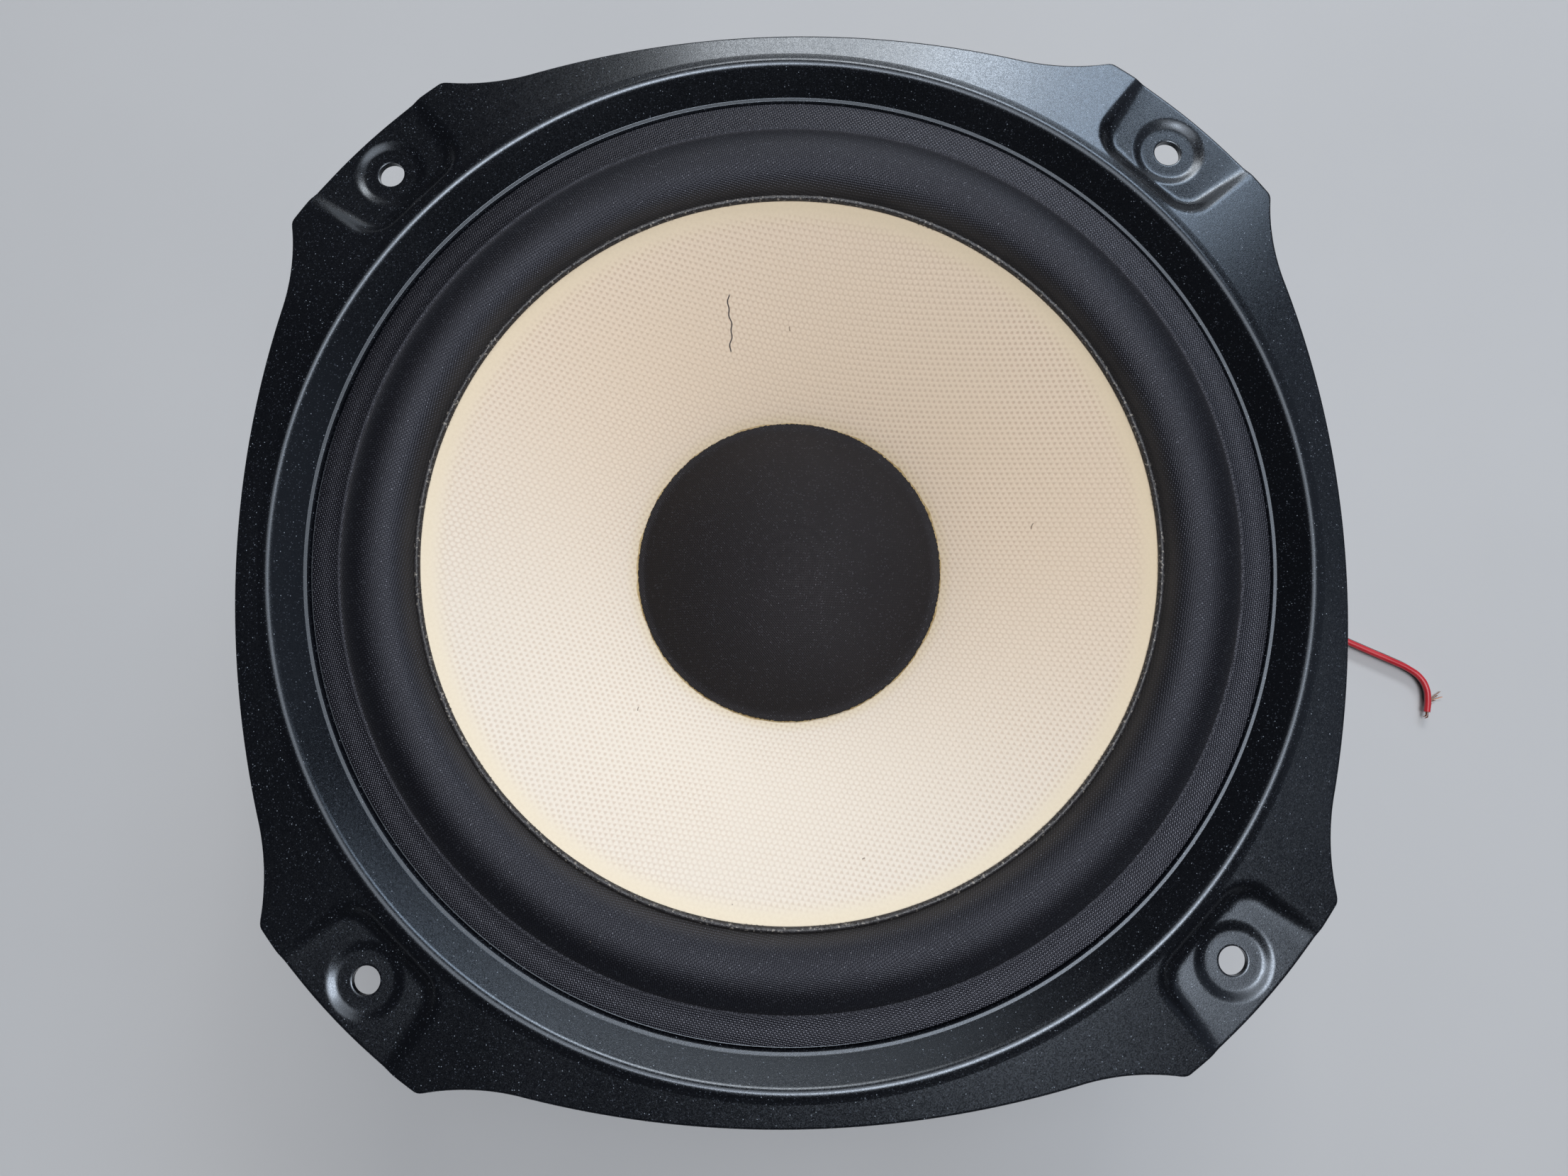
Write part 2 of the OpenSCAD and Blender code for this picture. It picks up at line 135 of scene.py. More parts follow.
def make_lights():
    area_light("window_left", 7, 38.5, 1.6, (0.64, 0.36), 7.0, (1.0, 0.985, 0.96))
    area_light("window_right", 29.5, 38.5, 1.6, (0.64, 0.36), 5.2, (0.74, 0.86, 1.0))
    area_light("wall_light", 10, 16, 1.6, (1.7, 0.40), 2.0, (0.90, 0.95, 1.0))
    area_light("ceiling_light", 138, 77, 1.6, (0.60, 0.60), 12.5, (0.92, 0.95, 1.0))
    area_light("ceiling_wide", 90, 75, 1.8, (1.5, 0.8), 3.8, (0.92, 0.95, 1.0))
    area_light("overhead_fill", 0, 89, 1.6, (1.0, 1.0), 6.5, (0.97, 0.98, 1.0))
    area_light("room_fill", 80, 42, 1.8, (1.3, 1.1), 0.8, (0.74, 0.84, 1.0))
    world = bpy.data.worlds.new("room")
    world.use_nodes = True
    back = world.node_tree.nodes["Background"]
    back.inputs["Color"].default_value = (0.92, 0.95, 1.0, 1)
    back.inputs["Strength"].default_value = 0.045
    bpy.context.scene.world = world


# ---------------------------------------- material building

class Nodes:
    """One node material, with short calls for the maths of its patterns."""

    def __init__(self, name, rough, **sockets):
        self.made = bpy.data.materials.new(name)
        self.made.use_nodes = True
        self.tree = self.made.node_tree
        self.shader = self.tree.nodes["Principled BSDF"]
        self.shader.inputs["Roughness"].default_value = rough
        for key, value in sockets.items():
            self.shader.inputs[key.replace("_", " ")].default_value = value
        self.place = self.node("ShaderNodeTexCoord").outputs["Object"]

    def node(self, kind, **inputs):
        made = self.tree.nodes.new(kind)
        for key, value in inputs.items():
            self.feed(made.inputs[key.replace("_", " ")], value)
        return made

    def feed(self, socket, value):
        if isinstance(value, bpy.types.NodeSocket):
            self.tree.links.new(value, socket)
        else:
            socket.default_value = value

    def operate(self, kind, operation, values):
        made = self.tree.nodes.new(kind)
        made.operation = operation
        for socket, value in zip(made.inputs, values):
            self.feed(socket, value)
        return made

    def math(self, operation, *values):
        return self.operate("ShaderNodeMath", operation, values).outputs[0]

    def vector(self, operation, *values):
        return self.operate("ShaderNodeVectorMath", operation, values).outputs

    def add(self, a, b):
        return self.math("ADD", a, b)

    def sub(self, a, b):
        return self.math("SUBTRACT", a, b)

    def mul(self, a, b):
        return self.math("MULTIPLY", a, b)

    def dot(self, place, way):
        return self.vector("DOT_PRODUCT", place, way)["Value"]

    def wave(self, place, angle, pitch):
        """cos of the position along a plan direction, with that pitch in millimetres."""
        k = 2 * math.pi / (pitch * MM)
        a = math.radians(angle)
        return self.math("COSINE", self.dot(place, (k * math.cos(a), k * math.sin(a), 0)))

    def noise(self, scale, detail=2.0, rough=0.5, channel="Fac"):
        made = self.node("ShaderNodeTexNoise", Vector=self.place, Scale=scale, Detail=detail, Roughness=rough)
        return made.outputs[channel]

    def cells(self, scale, channel="Color", place=None):
        made = self.node("ShaderNodeTexVoronoi", Vector=place or self.place, Scale=scale)
        return made.outputs[channel]

    def draws(self, scale, place=None):
        """Three random values for each cell."""
        return self.node("ShaderNodeSeparateColor", Color=self.cells(scale, place=place)).outputs

    def step(self, value, start, end, low_to=0.0, high_to=1.0):
        ends = {"From Min": start, "From Max": end, "To Min": low_to, "To Max": high_to}
        made = self.node("ShaderNodeMapRange", Value=value, **ends)
        made.interpolation_type = "SMOOTHSTEP"
        return made.outputs[0]

    def mix(self, factor, a, b):
        made = self.tree.nodes.new("ShaderNodeMix")
        made.data_type = "RGBA"
        self.feed(made.inputs[0], factor)
        for socket, value in zip(made.inputs[6:8], (a, b)):
            self.feed(socket, value if isinstance(value, bpy.types.NodeSocket) else (*value, 1))
        return made.outputs[2]

    def radius(self):
        """Distance from the axis, in millimetres."""
        flat = self.vector("MULTIPLY", self.place, (1 / MM, 1 / MM, 0))[0]
        return self.vector("LENGTH", flat)["Value"]

    def warped(self, scale, reach):
        """The position, pushed about by up to reach millimetres."""
        shift = self.noise(scale, channel="Color")
        return self.vector("MULTIPLY_ADD", shift, (reach * MM, reach * MM, 0), self.place)[0]

    def bump(self, height, depth, strength, normal=None):
        made = self.node("ShaderNodeBump", Height=height, Distance=depth * MM, Strength=strength)
        if normal is not None:
            self.feed(made.inputs["Normal"], normal)
        return made.outputs[0]

    def set(self, **sockets):
        for key, value in sockets.items():
            self.feed(self.shader.inputs[key.replace("_", " ")], value)
        return self.made


def powder_coat():
    """Black satin coating with fine pale flecks and painted sparkle: scattered bright dots painted into its
    colour.
    """
    m = Nodes("powder_coat_black", rough=0.27, Specular_IOR_Level=0.8, Specular_Tint=(0.80, 0.89, 1.0, 1.0))
    cells = m.draws(6200)
    fleck = m.step(cells[0], 0.94, 1.0)
    grain = m.noise(3600, 2.0, 0.5)
    patch = m.noise(28, 3.0)
    base = m.mix(patch, (0.0012, 0.0014, 0.0025), (0.0022, 0.0025, 0.0042))
    color = m.mix(m.mul(fleck, 0.30), base, (0.13, 0.15, 0.19))
    # Painted sparkle: small bright dots painted into the colour for light glinting off the coat's flakes.
    picked = m.draws(2600)[0]
    middle = m.step(m.cells(2600, "Distance"), 0.15, 0.28, 1.0, 0.0)
    painted_sparkle = m.mul(m.step(picked, 0.955, 0.965), middle)
    color = m.mix(m.mul(painted_sparkle, 0.6), color, (0.42, 0.48, 0.56))
    rough = m.add(m.step(cells[1], 0.0, 1.0, 0.19, 0.30), m.step(patch, 0.3, 0.7, -0.02, 0.02))
    relief = m.bump(grain, 0.012, 0.5)
    relief = m.bump(cells[2], 0.004, 0.5, relief)
    return m.set(Base_Color=color, Roughness=rough, Normal=relief)


def cone_cloth():
    """Cream cloth woven on three directions, pressed smooth along its outer edge, with painted light paling
    its lower-left side.
    """
    m = Nodes("woven_cone_cream", rough=0.62, Specular_IOR_Level=0.35)
    place = m.warped(260, 0.22)
    waves = m.add(m.wave(place, 19.6, 0.892), m.wave(place, 79.4, 0.905))
    waves = m.add(waves, m.wave(place, 140.4, 0.912))
    holes = m.step(waves, -0.9, 2.9)
    radius = m.radius()
    woven = m.step(radius, 62.6, 64.6, 1.0, 0.12)
    near_cap = m.step(radius, 30.4, 33.0, 1.0, 0.0)
    patch = m.noise(38, 4.0, 0.6)
    thread = m.noise(2400, 2.0)
    cloth = m.mix(patch, (0.788, 0.640, 0.488), (0.850, 0.703, 0.552))
    # Painted light: the cloth is mixed towards a paler, greyer cream on its lower-left side, where the light
    # falls strongest.
    painted_bright_side = m.step(m.dot(m.place, (-390, -920, 0)), -35, 45)
    cloth = m.mix(m.mul(painted_bright_side, 0.55), cloth, (0.785, 0.77, 0.715))
    cloth = m.mix(m.mul(near_cap, 0.40), cloth, (0.70, 0.57, 0.33))
    cloth = m.mix(m.step(radius, 61.5, 65.5, 0.0, 0.45), cloth, (0.80, 0.68, 0.45))
    cloth = m.mix(m.mul(m.step(thread, 0.35, 0.7), 0.10), cloth, (0.60, 0.48, 0.32))
    dark = m.mul(m.mul(holes, woven), m.step(patch, 0.25, 0.75, 0.27, 0.44))
    cloth = m.mix(dark, cloth, (0.42, 0.262, 0.175))
    cloth = m.mix(specks(m), cloth, (0.10, 0.07, 0.05))
    cloth = m.mix(hair(m), cloth, (0.045, 0.036, 0.04))
    fibres = ((46.6, 5.2, 70, 1.3), (1.3, 46.2, 100, 0.9), (-29.5, -27.5, 80, 0.9), (12.0, -55.5, 20, 0.7))
    for x, y, angle, length in fibres:
        cloth = m.mix(m.mul(fibre(m, x, y, angle, length), 0.75), cloth, (0.14, 0.09, 0.06))
    relief = m.bump(m.mul(holes, woven), -0.055, 0.8)
    relief = m.bump(thread, 0.02, 0.35, relief)
    return m.set(Base_Color=cloth, Normal=relief)


def specks(m):
    """A few fine dark specks of dust."""
    near = m.step(m.cells(95, "Distance"), 0.012, 0.022, 1.0, 0.0)
    return m.mul(near, m.step(m.draws(95)[0], 0.90, 0.93, 0.0, 0.7))


def fibre(m, x, y, angle, length):
    """A short dark fibre at a place, in millimetres."""
    a = math.radians(angle)
    c, s = math.cos(a), math.sin(a)
    along = m.sub(m.dot(m.place, (c / MM, s / MM, 0)), x * c + y * s)
    across = m.sub(m.dot(m.place, (-s / MM, c / MM, 0)), y * c - x * s)
    across = m.add(across, m.mul(m.mul(along, along), 0.35))
    ends = m.step(m.math("ABSOLUTE", along), length / 2 - 0.15, length / 2, 1.0, 0.0)
    return m.mul(ends, m.step(m.math("ABSOLUTE", across), 0.05, 0.15, 1.0, 0.0))


def hair(m):
    """One fine dark hair that lies on the cone's upper half."""
    split = m.node("ShaderNodeSeparateXYZ", Vector=m.place)
    x = m.mul(split.outputs["X"], 1 / MM)
    y = m.mul(split.outputs["Y"], 1 / MM)
    curl = m.add(m.mul(m.math("SINE", m.mul(y, 0.85)), 0.24), m.mul(m.math("SINE", m.mul(y, 2.7)), 0.13))
    away = m.math("ABSOLUTE", m.sub(m.sub(x, curl), -10.3))
    line = m.step(away, 0.06, 0.19, 1.0, 0.0)
    span = m.mul(m.step(y, 42.3, 42.6), m.step(y, 51.5, 51.9, 1.0, 0.0))
    return m.mul(line, span)


def plain_weave(m, place, angle, pitch_a, pitch_b):
    """Height of a plain weave whose threads cross at right angles."""
    a = m.wave(place, angle, 2 * pitch_a)
    b = m.wave(place, angle + 90, 2 * pitch_b)
    crown = m.mul(m.math("ABSOLUTE", a), m.math("ABSOLUTE", b))
    return m.add(m.mul(crown, 0.75), m.mul(m.mul(a, b), 0.25))


def lint(m):
    """A few tiny pale fibres of dust."""
    place = m.warped(900, 1.4)
    near = m.step(m.cells(150, "Distance", place), 0.010, 0.022, 1.0, 0.0)
    return m.mul(near, m.step(m.draws(150, place)[1], 0.94, 0.95, 0.0, 0.8))


def black_cloth(name, angle, pitch_a, pitch_b, light, dark, rough, glints, gloss, tint, nap=0.0):
    """Black woven cloth with a thin coating, whose threads glint here and there.

    The surround's has a nap, a painted sheen along its inner edge (a paler band painted into its colour) and
    a smoother outer band. The cap's has faint rings.
    """
    m = Nodes(name, rough=rough, Specular_IOR_Level=gloss, Specular_Tint=(*tint, 1.0),
              Sheen_Weight=nap, Sheen_Roughness=0.35, Sheen_Tint=(0.85, 0.84, 0.92, 1.0))
    place = m.warped(300, 0.12)
    weave = plain_weave(m, place, angle, pitch_a, pitch_b)
    glint = m.step(m.draws(5200)[0], 0.93, 1.0)
    patch = m.noise(45, 4.0, 0.6)
    color = m.mix(m.step(weave, 0.1, 0.8), dark, light)
    color = m.mix(m.mul(patch, 0.35), color, dark)
    color = m.mix(m.mul(glint, glints), color, (0.16, 0.17, 0.20))
    color = m.mix(lint(m), color, (0.30, 0.25, 0.20))
    if nap:
        # Painted sheen: a paler, uneven band painted along the roll's inner slope for light reflected there.
        painted_sheen = m.mul(m.step(m.radius(), 67.8, 70.2, 1.0, 0.0), m.step(patch, 0.2, 0.7, 0.6, 1.0))
        color = m.mix(painted_sheen, color, (0.030, 0.027, 0.025))
    shine = m.add(m.step(glint, 0.0, 1.0, rough, rough - 0.22), m.step(patch, 0.3, 0.7, -0.04, 0.04))
    if nap:
        shine = m.sub(shine, m.step(m.radius(), 80.9, 81.5, 0.0, 0.13))
    else:
        rings = m.mul(m.math("COSINE", m.mul(m.radius(), 2.4)), m.step(m.radius(), 4, 14, 1.0, 0.0))
        shine = m.add(shine, m.mul(rings, 0.022))
    relief = m.bump(weave, 0.07, 0.8)
    relief = m.bump(m.noise(3200, 2.0), 0.03, 0.5, relief)
    return m.set(Base_Color=color, Roughness=shine, Normal=relief)


def glue(name, color, pale, rough, grain, crumbs=0.0):
    """A brushed bead of adhesive, with lumps, crumbs of fibre and small glints."""
    m = Nodes(name, rough=rough, Specular_IOR_Level=0.6, Coat_Weight=0.25, Coat_Roughness=0.25)
    lumps = m.noise(grain, 4.0, 0.7)
    cells = m.draws(grain * 1.5)
    tone = m.mix(m.step(lumps, 0.35, 0.7), color, pale)
    tone = m.mix(m.mul(m.step(cells[2], 0.9, 0.96), crumbs), tone, (0.36, 0.33, 0.29))
    shine = m.step(cells[1], 0, 1, rough - 0.15, rough + 0.15)
    relief = m.bump(lumps, 0.16, 0.9)
    relief = m.bump(cells[0], 0.05, 0.6, relief)
    return m.set(Base_Color=tone, Roughness=shine, Normal=relief)


def plated_steel(name, color, rough):
    """Zinc-plated steel with turning marks and a few dull spots."""
    m = Nodes(name, rough=rough, Metallic=1.0)
    rings = m.math("SINE", m.mul(m.radius(), 17.0))
    spots = m.noise(130, 5.0, 0.65)
    tone = m.mix(m.step(spots, 0.35, 0.7), color, tuple(0.62 * c for c in color))
    relief = m.bump(rings, 0.012, 0.25)
    relief = m.bump(m.noise(1500, 3.0), 0.02, 0.3, relief)
    shine = m.step(spots, 0.3, 0.75, rough - 0.07, rough + 0.16)
    return m.set(Base_Color=tone, Roughness=shine, Normal=relief)


def ferrite():
    """Dark grey fired ferrite, ground on its faces, with chalky scuffs here and there."""
    m = Nodes("ferrite_grey", rough=0.58, Specular_IOR_Level=0.5)
    grain = m.noise(900, 5.0, 0.7)
    patch = m.noise(60, 4.0)
    pits = m.step(m.cells(700, "Distance"), 0.05, 0.22, 1.0, 0.0)
    scuffs = m.mul(m.step(m.noise(22, 7.0, 0.72), 0.55, 0.70), 0.45)
    tone = m.mix(m.step(patch, 0.3, 0.7), (0.026, 0.027, 0.030), (0.066, 0.066, 0.068))
    tone = m.mix(scuffs, tone, (0.14, 0.14, 0.145))
    tone = m.mix(m.mul(pits, 0.5), tone, (0.012, 0.012, 0.013))
    tone = m.mix(m.mul(m.step(grain, 0.6, 0.75), 0.25), tone, (0.16, 0.16, 0.165))
    relief = m.bump(m.sub(grain, pits), 0.05, 0.5)
    return m.set(Base_Color=tone, Normal=relief)


def moulded(name, color, pale, rough, **sockets):
    """A plain moulded or drawn material with fine grain and handling marks."""
    m = Nodes(name, rough=rough, **sockets)
    grain = m.noise(1700, 3.0)
    patch = m.noise(90, 5.0, 0.65)
    tone = m.mix(m.step(patch, 0.35, 0.7), color, pale)
    relief = m.bump(grain, 0.02, 0.4)
    shine = m.step(patch, 0.3, 0.7, rough - 0.06, rough + 0.08)
    return m.set(Base_Color=tone, Roughness=shine, Normal=relief)


def wound_copper():
    """Enamelled copper wire wound in close turns round the axis."""
    m = Nodes("wound_copper", rough=0.3, Metallic=0.85, Coat_Weight=0.5, Coat_Roughness=0.15)
    split = m.node("ShaderNodeSeparateXYZ", Vector=m.place)
    turns = m.math("SINE", m.mul(split.outputs["Z"], 2 * math.pi / (0.26 * MM)))
    tone = m.mix(m.step(turns, -0.9, 0.4), (0.16, 0.055, 0.02), (0.62, 0.27, 0.12))
    return m.set(Base_Color=tone, Normal=m.bump(turns, 0.06, 0.8))


def resined_cloth():
    """Amber resined cloth with an open plain weave."""
    m = Nodes("resined_cloth_amber", rough=0.55, Specular_IOR_Level=0.45, Sheen_Weight=0.1)
    weave = plain_weave(m, m.warped(240, 0.15), 12, 0.55, 0.55)
    patch = m.noise(70, 3.0)
    tone = m.mix(m.step(weave, 0.12, 0.6), (0.20, 0.11, 0.028), (0.62, 0.42, 0.14))
    tone = m.mix(m.mul(patch, 0.4), tone, (0.45, 0.28, 0.08))
    return m.set(Base_Color=tone, Normal=m.bump(weave, 0.14, 0.9))


def braid(name, color, pale):
    """Fine copper braid."""
    m = Nodes(name, rough=0.34, Metallic=1.0)
    a = m.wave(m.place, 62, 0.42)
    b = m.wave(m.place, -62, 0.42)
    plait = m.math("MAXIMUM", a, b)
    tone = m.mix(m.step(plait, -0.2, 0.9), color, pale)
    return m.set(Base_Color=tone, Normal=m.bump(plait, 0.09, 0.9))


def floor_paint():
    m = Nodes("floor_pale", rough=0.75, Specular_IOR_Level=0.25)
    tone = m.mix(m.noise(7, 4.0, 0.6), (0.45, 0.455, 0.465), (0.50, 0.505, 0.515))
    return m.set(Base_Color=tone, Normal=m.bump(m.noise(500, 3.0), 0.03, 0.3))


# ---------------------------------------- mesh building

def solid(name, points, faces, material, sharp=32):
    """A smooth-shaded mesh from points in millimetres."""
    mesh = bpy.data.meshes.new(name)
    mesh.from_pydata((np.asarray(points, float) * MM).tolist(), [], faces)
    mesh.validate()
    obj = bpy.data.objects.new(name, mesh)
    bpy.context.scene.collection.objects.link(obj)
    face_outwards(mesh)
    mesh.shade_smooth()
    mesh.set_sharp_from_angle(angle=math.radians(sharp))
    mesh.materials.append(material)
    return obj


def face_outwards(mesh):
    work = bmesh.new()
    work.from_mesh(mesh)
    bmesh.ops.recalc_face_normals(work, faces=work.faces)
    work.to_mesh(mesh)
    work.free()


def fillet(line, radii, steps):
    """The line with each inner corner rounded by its radius, and a fixed count of points."""
    pts = [np.array(p, float) for p in line]
    out = [pts[0]]
    for i in range(1, len(pts) - 1):
        a, b, c = pts[i - 1], pts[i], pts[i + 1]
        u, v = (a - b), (c - b)
        lu, lv = np.linalg.norm(u), np.linalg.norm(v)
        u, v = u / lu, v / lv
        half = math.acos(max(-1.0, min(1.0, float(u @ v)))) / 2
        if radii[i] <= 0 or abs(half - math.pi / 2) < 1e-4:
            out.extend([b] * (steps + 1))
            continue
        cut = min(radii[i] / math.tan(half), 0.49 * lu, 0.49 * lv)
        p, q = b + u * cut, b + v * cut
        for k in range(steps + 1):
            t = k / steps
            out.append((1 - t) ** 2 * p + 2 * t * (1 - t) * b + t * t * q)
    out.append(pts[-1])
    return np.array(out)


def lowered(line, depth):
    """The same line moved to its right-hand side by depth, mitred at the corners."""
    pts = np.array(line, float)
    seg = np.diff(pts, axis=0)
    seg /= np.linalg.norm(seg, axis=1)[:, None]
    before = np.vstack([seg[:1], seg])
    after = np.vstack([seg, seg[-1:]])
    n0 = np.stack([-before[:, 1], before[:, 0]], 1)
    mid = n0 + np.stack([-after[:, 1], after[:, 0]], 1)
    mid /= np.linalg.norm(mid, axis=1)[:, None]
    return pts + mid * (depth / (mid * n0).sum(1))[:, None]


def band_faces(rows, columns, closed=False):
    """Quads between successive rings of points."""
    faces = []
    last = rows if closed else rows - 1
    for i in range(last):
        a, b = i * columns, ((i + 1) % rows) * columns
        for j in range(columns):
            k = (j + 1) % columns
            faces.append((a + j, a + k, b + k, b + j))
    return faces


def lathe(name, line, material, columns, sharp=32, wobble=None):
    """A closed section turned round the axis; wobble may move the points."""
    line = np.array(line, float)
    turn = np.arange(columns) * 2 * math.pi / columns
    r, z = line[:, 0][:, None], line[:, 1][:, None]
    pts = np.stack([r * np.cos(turn), r * np.sin(turn), z + 0 * turn], -1)
    if wobble is not None:
        pts = wobble(pts, turn)
    return solid(name, pts.reshape(-1, 3), band_faces(len(line), columns, closed=True), material, sharp)


def closed_sheet(front, back):
    return np.vstack([front, back[::-1]])


def step_up(t):
    t = np.clip(t, 0, 1)
    return t * t * (3 - 2 * t)


def ragged(turn, waves, size):
    """A repeatable uneven value round the axis, between about -size and size."""
    total = np.zeros_like(turn)
    for count in waves:
        total += np.sin(count * turn + rng.uniform(0, 2 * math.pi)) * rng.uniform(0.5, 1)
    return size * total / math.sqrt(len(waves))


def tube_mesh(path, radius, sides, steps):
    """Points and faces of a closed tube along a smooth line through the path's points."""
    line = smooth_line(np.array(path, float), steps)
    tangent = np.gradient(line, axis=0)
    tangent /= np.linalg.norm(tangent, axis=1)[:, None]
    side = np.cross(tangent[0], (0.1, 0.2, 1.0))
    a = np.arange(sides) * 2 * math.pi / sides
    rings = []
    for place, t in zip(line, tangent):
        side = side - t * (side @ t)
        side /= np.linalg.norm(side)
        up = np.cross(t, side)
        rings.append(place + radius * (np.cos(a)[:, None] * side + np.sin(a)[:, None] * up))
    faces = band_faces(len(rings), sides)
    faces.append(tuple(range(sides))[::-1])
    faces.append(tuple((len(rings) - 1) * sides + k for k in range(sides)))
    return np.vstack(rings), faces


def smooth_line(path, steps):
    """Catmull-Rom points through the path."""
    ends = np.vstack([2 * path[0] - path[1], path, 2 * path[-1] - path[-2]])
    out = []
    for i in range(1, len(ends) - 2):
        p0, p1, p2, p3 = ends[i - 1:i + 3]
        for k in range(steps):
            t = k / steps
            out.append(0.5 * (2 * p1 + (p2 - p0) * t + (2 * p0 - 5 * p1 + 4 * p2 - p3) * t * t
                              + (3 * p1 - p0 - 3 * p2 + p3) * t ** 3))
    out.append(path[-1])
    return np.array(out)


# ---------------------------------------- pressed frame

def column_angles():
    """Angles of the frame's columns: closer together round each ear."""
    half = np.concatenate([
        np.linspace(0, 27, 37)[:-1], np.linspace(27, 33, 13)[:-1],
        np.linspace(33, 37.5, 19)[:-1], np.linspace(37.5, 45, 21),
    ])
    quarter = np.concatenate([half, 90 - half[::-1][1:-1]])
    return np.radians(np.concatenate([quarter + q for q in (0, 90, 180, 270)]))


def folded(turn):
    """Angle folded into the first eighth of a turn."""
    t = np.mod(turn, math.pi / 2)
    return np.minimum(t, math.pi / 2 - t)


def outline(turn):
    """Radius of the frame's outer edge at each angle."""
    t = folded(turn)
    offset = SIDE_R - SIDE_W
    reach = -offset * np.cos(t)
    side = reach + np.sqrt(reach ** 2 - offset ** 2 + SIDE_R ** 2)
    fx, fy, fr = FLARE
    along = fx * np.cos(t) + fy * np.sin(t)
    under = along ** 2 - (fx * fx + fy * fy - fr * fr)
    flare = np.where(under > 0, along - np.sqrt(np.maximum(under, 0)), 1e3)
    curve = np.where(t < math.atan2(46.17, 92.04), side, flare)
    soft = 0.8
    near = np.maximum(soft - np.abs(curve - EAR_R), 0) / soft
    return np.minimum(curve, EAR_R) - near ** 2 * soft / 4


def face_z(r):
    """Height of the flange's face, whose ridge is rounded into the inner slope."""
    return 5.2 - 0.133 * (r - 93)


def ear_place(x, y):
    """Each point in its own ear's frame: along the diagonal, and across it."""
    return (np.abs(x) + np.abs(y)) / math.sqrt(2), np.abs(np.abs(x) - np.abs(y)) / math.sqrt(2)


def pad_distance(u, v):
    """Distance outwards from the middle of the pad's wall."""
    lean = math.radians(9)
    du, dv = u - 99.8, v - 7.2
    inner = -du
    side = -du * math.sin(lean) + dv * math.cos(lean)
    corner = np.hypot(np.maximum(inner, 0), np.maximum(side, 0))
    return np.where((inner > 0) & (side > 0), corner, np.maximum(inner, side)) - 5.0 + 0.6


def frame_height(x, y):
    """Height of the flange's upper face, with its pads and screw wells."""
    r = np.hypot(x, y)
    u, v = ear_place(x, y)
    face = face_z(r)
    floor = PAD_Z - PAD_SLOPE * (u - HOLE[0]) + 0.12 * step_up((v - 9) / 5)
    wide = 3.5 - 1.1 * step_up((u - 97) / 13)
    wall = step_up(pad_distance(u, v) / wide + 0.5)
    z = floor + (face - floor) * wall
    well = np.hypot(u - HOLE[0], v)
    z = z - WELL_DEPTH * (1 - step_up((well - WELL_R) / WELL_WALL)) * (1 - wall)
    return z - 0.08 * (1 - np.clip((well - HOLE[1]) / 0.25, 0, 1)) ** 2


def ring_points(r, turn, z):
    r = np.broadcast_to(r, turn.shape)
    return np.stack([r * np.cos(turn), r * np.sin(turn), np.broadcast_to(z, turn.shape)], -1)


def flange_sections():
    """Front and back lines of the flange's inner part, from under the surround to the face."""
    line = [
        (LANDING_R, LANDING_Z), (85.9, LANDING_Z), (86.45, 1.26), (87.05, 1.35),
        (RIDGE_R - 0.15, 5.78), (FACE_R, face_z(FACE_R)),
    ]
    front = fillet(line, (0, 0.12, 0.14, 0.18, 2.2, 0), 7)
    under = LANDING_Z - SHEET
    line = [
        (LANDING_R, under), (87.0, under), (87.6, 0.1), (88.0, 0.14), (89.3, 0.3),
        (RIDGE_R + 0.7, 4.2), (FACE_R + 0.2, face_z(FACE_R) - SHEET),
    ]
    back = fillet(line, (0, 0.5, 0.3, 0.3, 1.5, 0.6, 0), 2)
    return front, back


def flange_rows(turn):
    """Rings of points round the flange's section, and where its two ear blocks start."""
    edge, out = LIP_R, outline(turn)
    front, back = flange_sections()
    rows = [ring_points(r, turn, z) for r, z in front]
    top_start = len(rows) - 1
    near, far = HOLE[0] - BLOCK_HALF - FACE_R, HOLE[0] + BLOCK_HALF - FACE_R
    steps = np.concatenate([
        np.linspace(0, near, 9)[1:], np.linspace(near, far, 23)[1:], [EAR_R - edge - FACE_R],
    ])
    for s in steps / (EAR_R - edge - FACE_R):
        r = FACE_R + (out - edge - FACE_R) * s
        rows.append(ring_points(r, turn, frame_height(r * np.cos(turn), r * np.sin(turn))))
    lip = frame_height((out - edge) * np.cos(turn), (out - edge) * np.sin(turn))
    for a in (25, 50, 75, 90):
        s, c = math.sin(math.radians(a)), math.cos(math.radians(a))
        rows.append(ring_points(out - edge * (1 - s), turn, lip - edge * (1 - c)))
    rim = ((0, 0.2), (0.15, 0.0), (SHEET - 0.15, 0.0), (SHEET, 0.2), (SHEET, lip - SHEET - 0.35))
    rows.extend(ring_points(out - inset, turn, z) for inset, z in rim)
    low_start = len(rows)
    inner = out - SHEET - 0.3
    for s in (1 - np.concatenate([[0], steps[:-1]]) / steps[-1])[::-1]:
        r = inner + (FACE_R + 0.2 - inner) * s
        rows.append(ring_points(r, turn, frame_height(r * np.cos(turn), r * np.sin(turn)) - SHEET))
    rows.extend(ring_points(r, turn, z) for r, z in back[::-1][1:])
    return rows, top_start + 8, low_start


def block_loop(first, last, start, wide, columns):
    """Indices round the edge of a block of points, from its first row to its last."""
    def at(i, j):
        return i * columns + (start + j) % columns

    return ([at(first, j) for j in range(wide)] + [at(i, wide) for i in range(first, last)]
            + [at(last, j) for j in range(wide, 0, -1)] + [at(i, 0) for i in range(last, first, -1)])


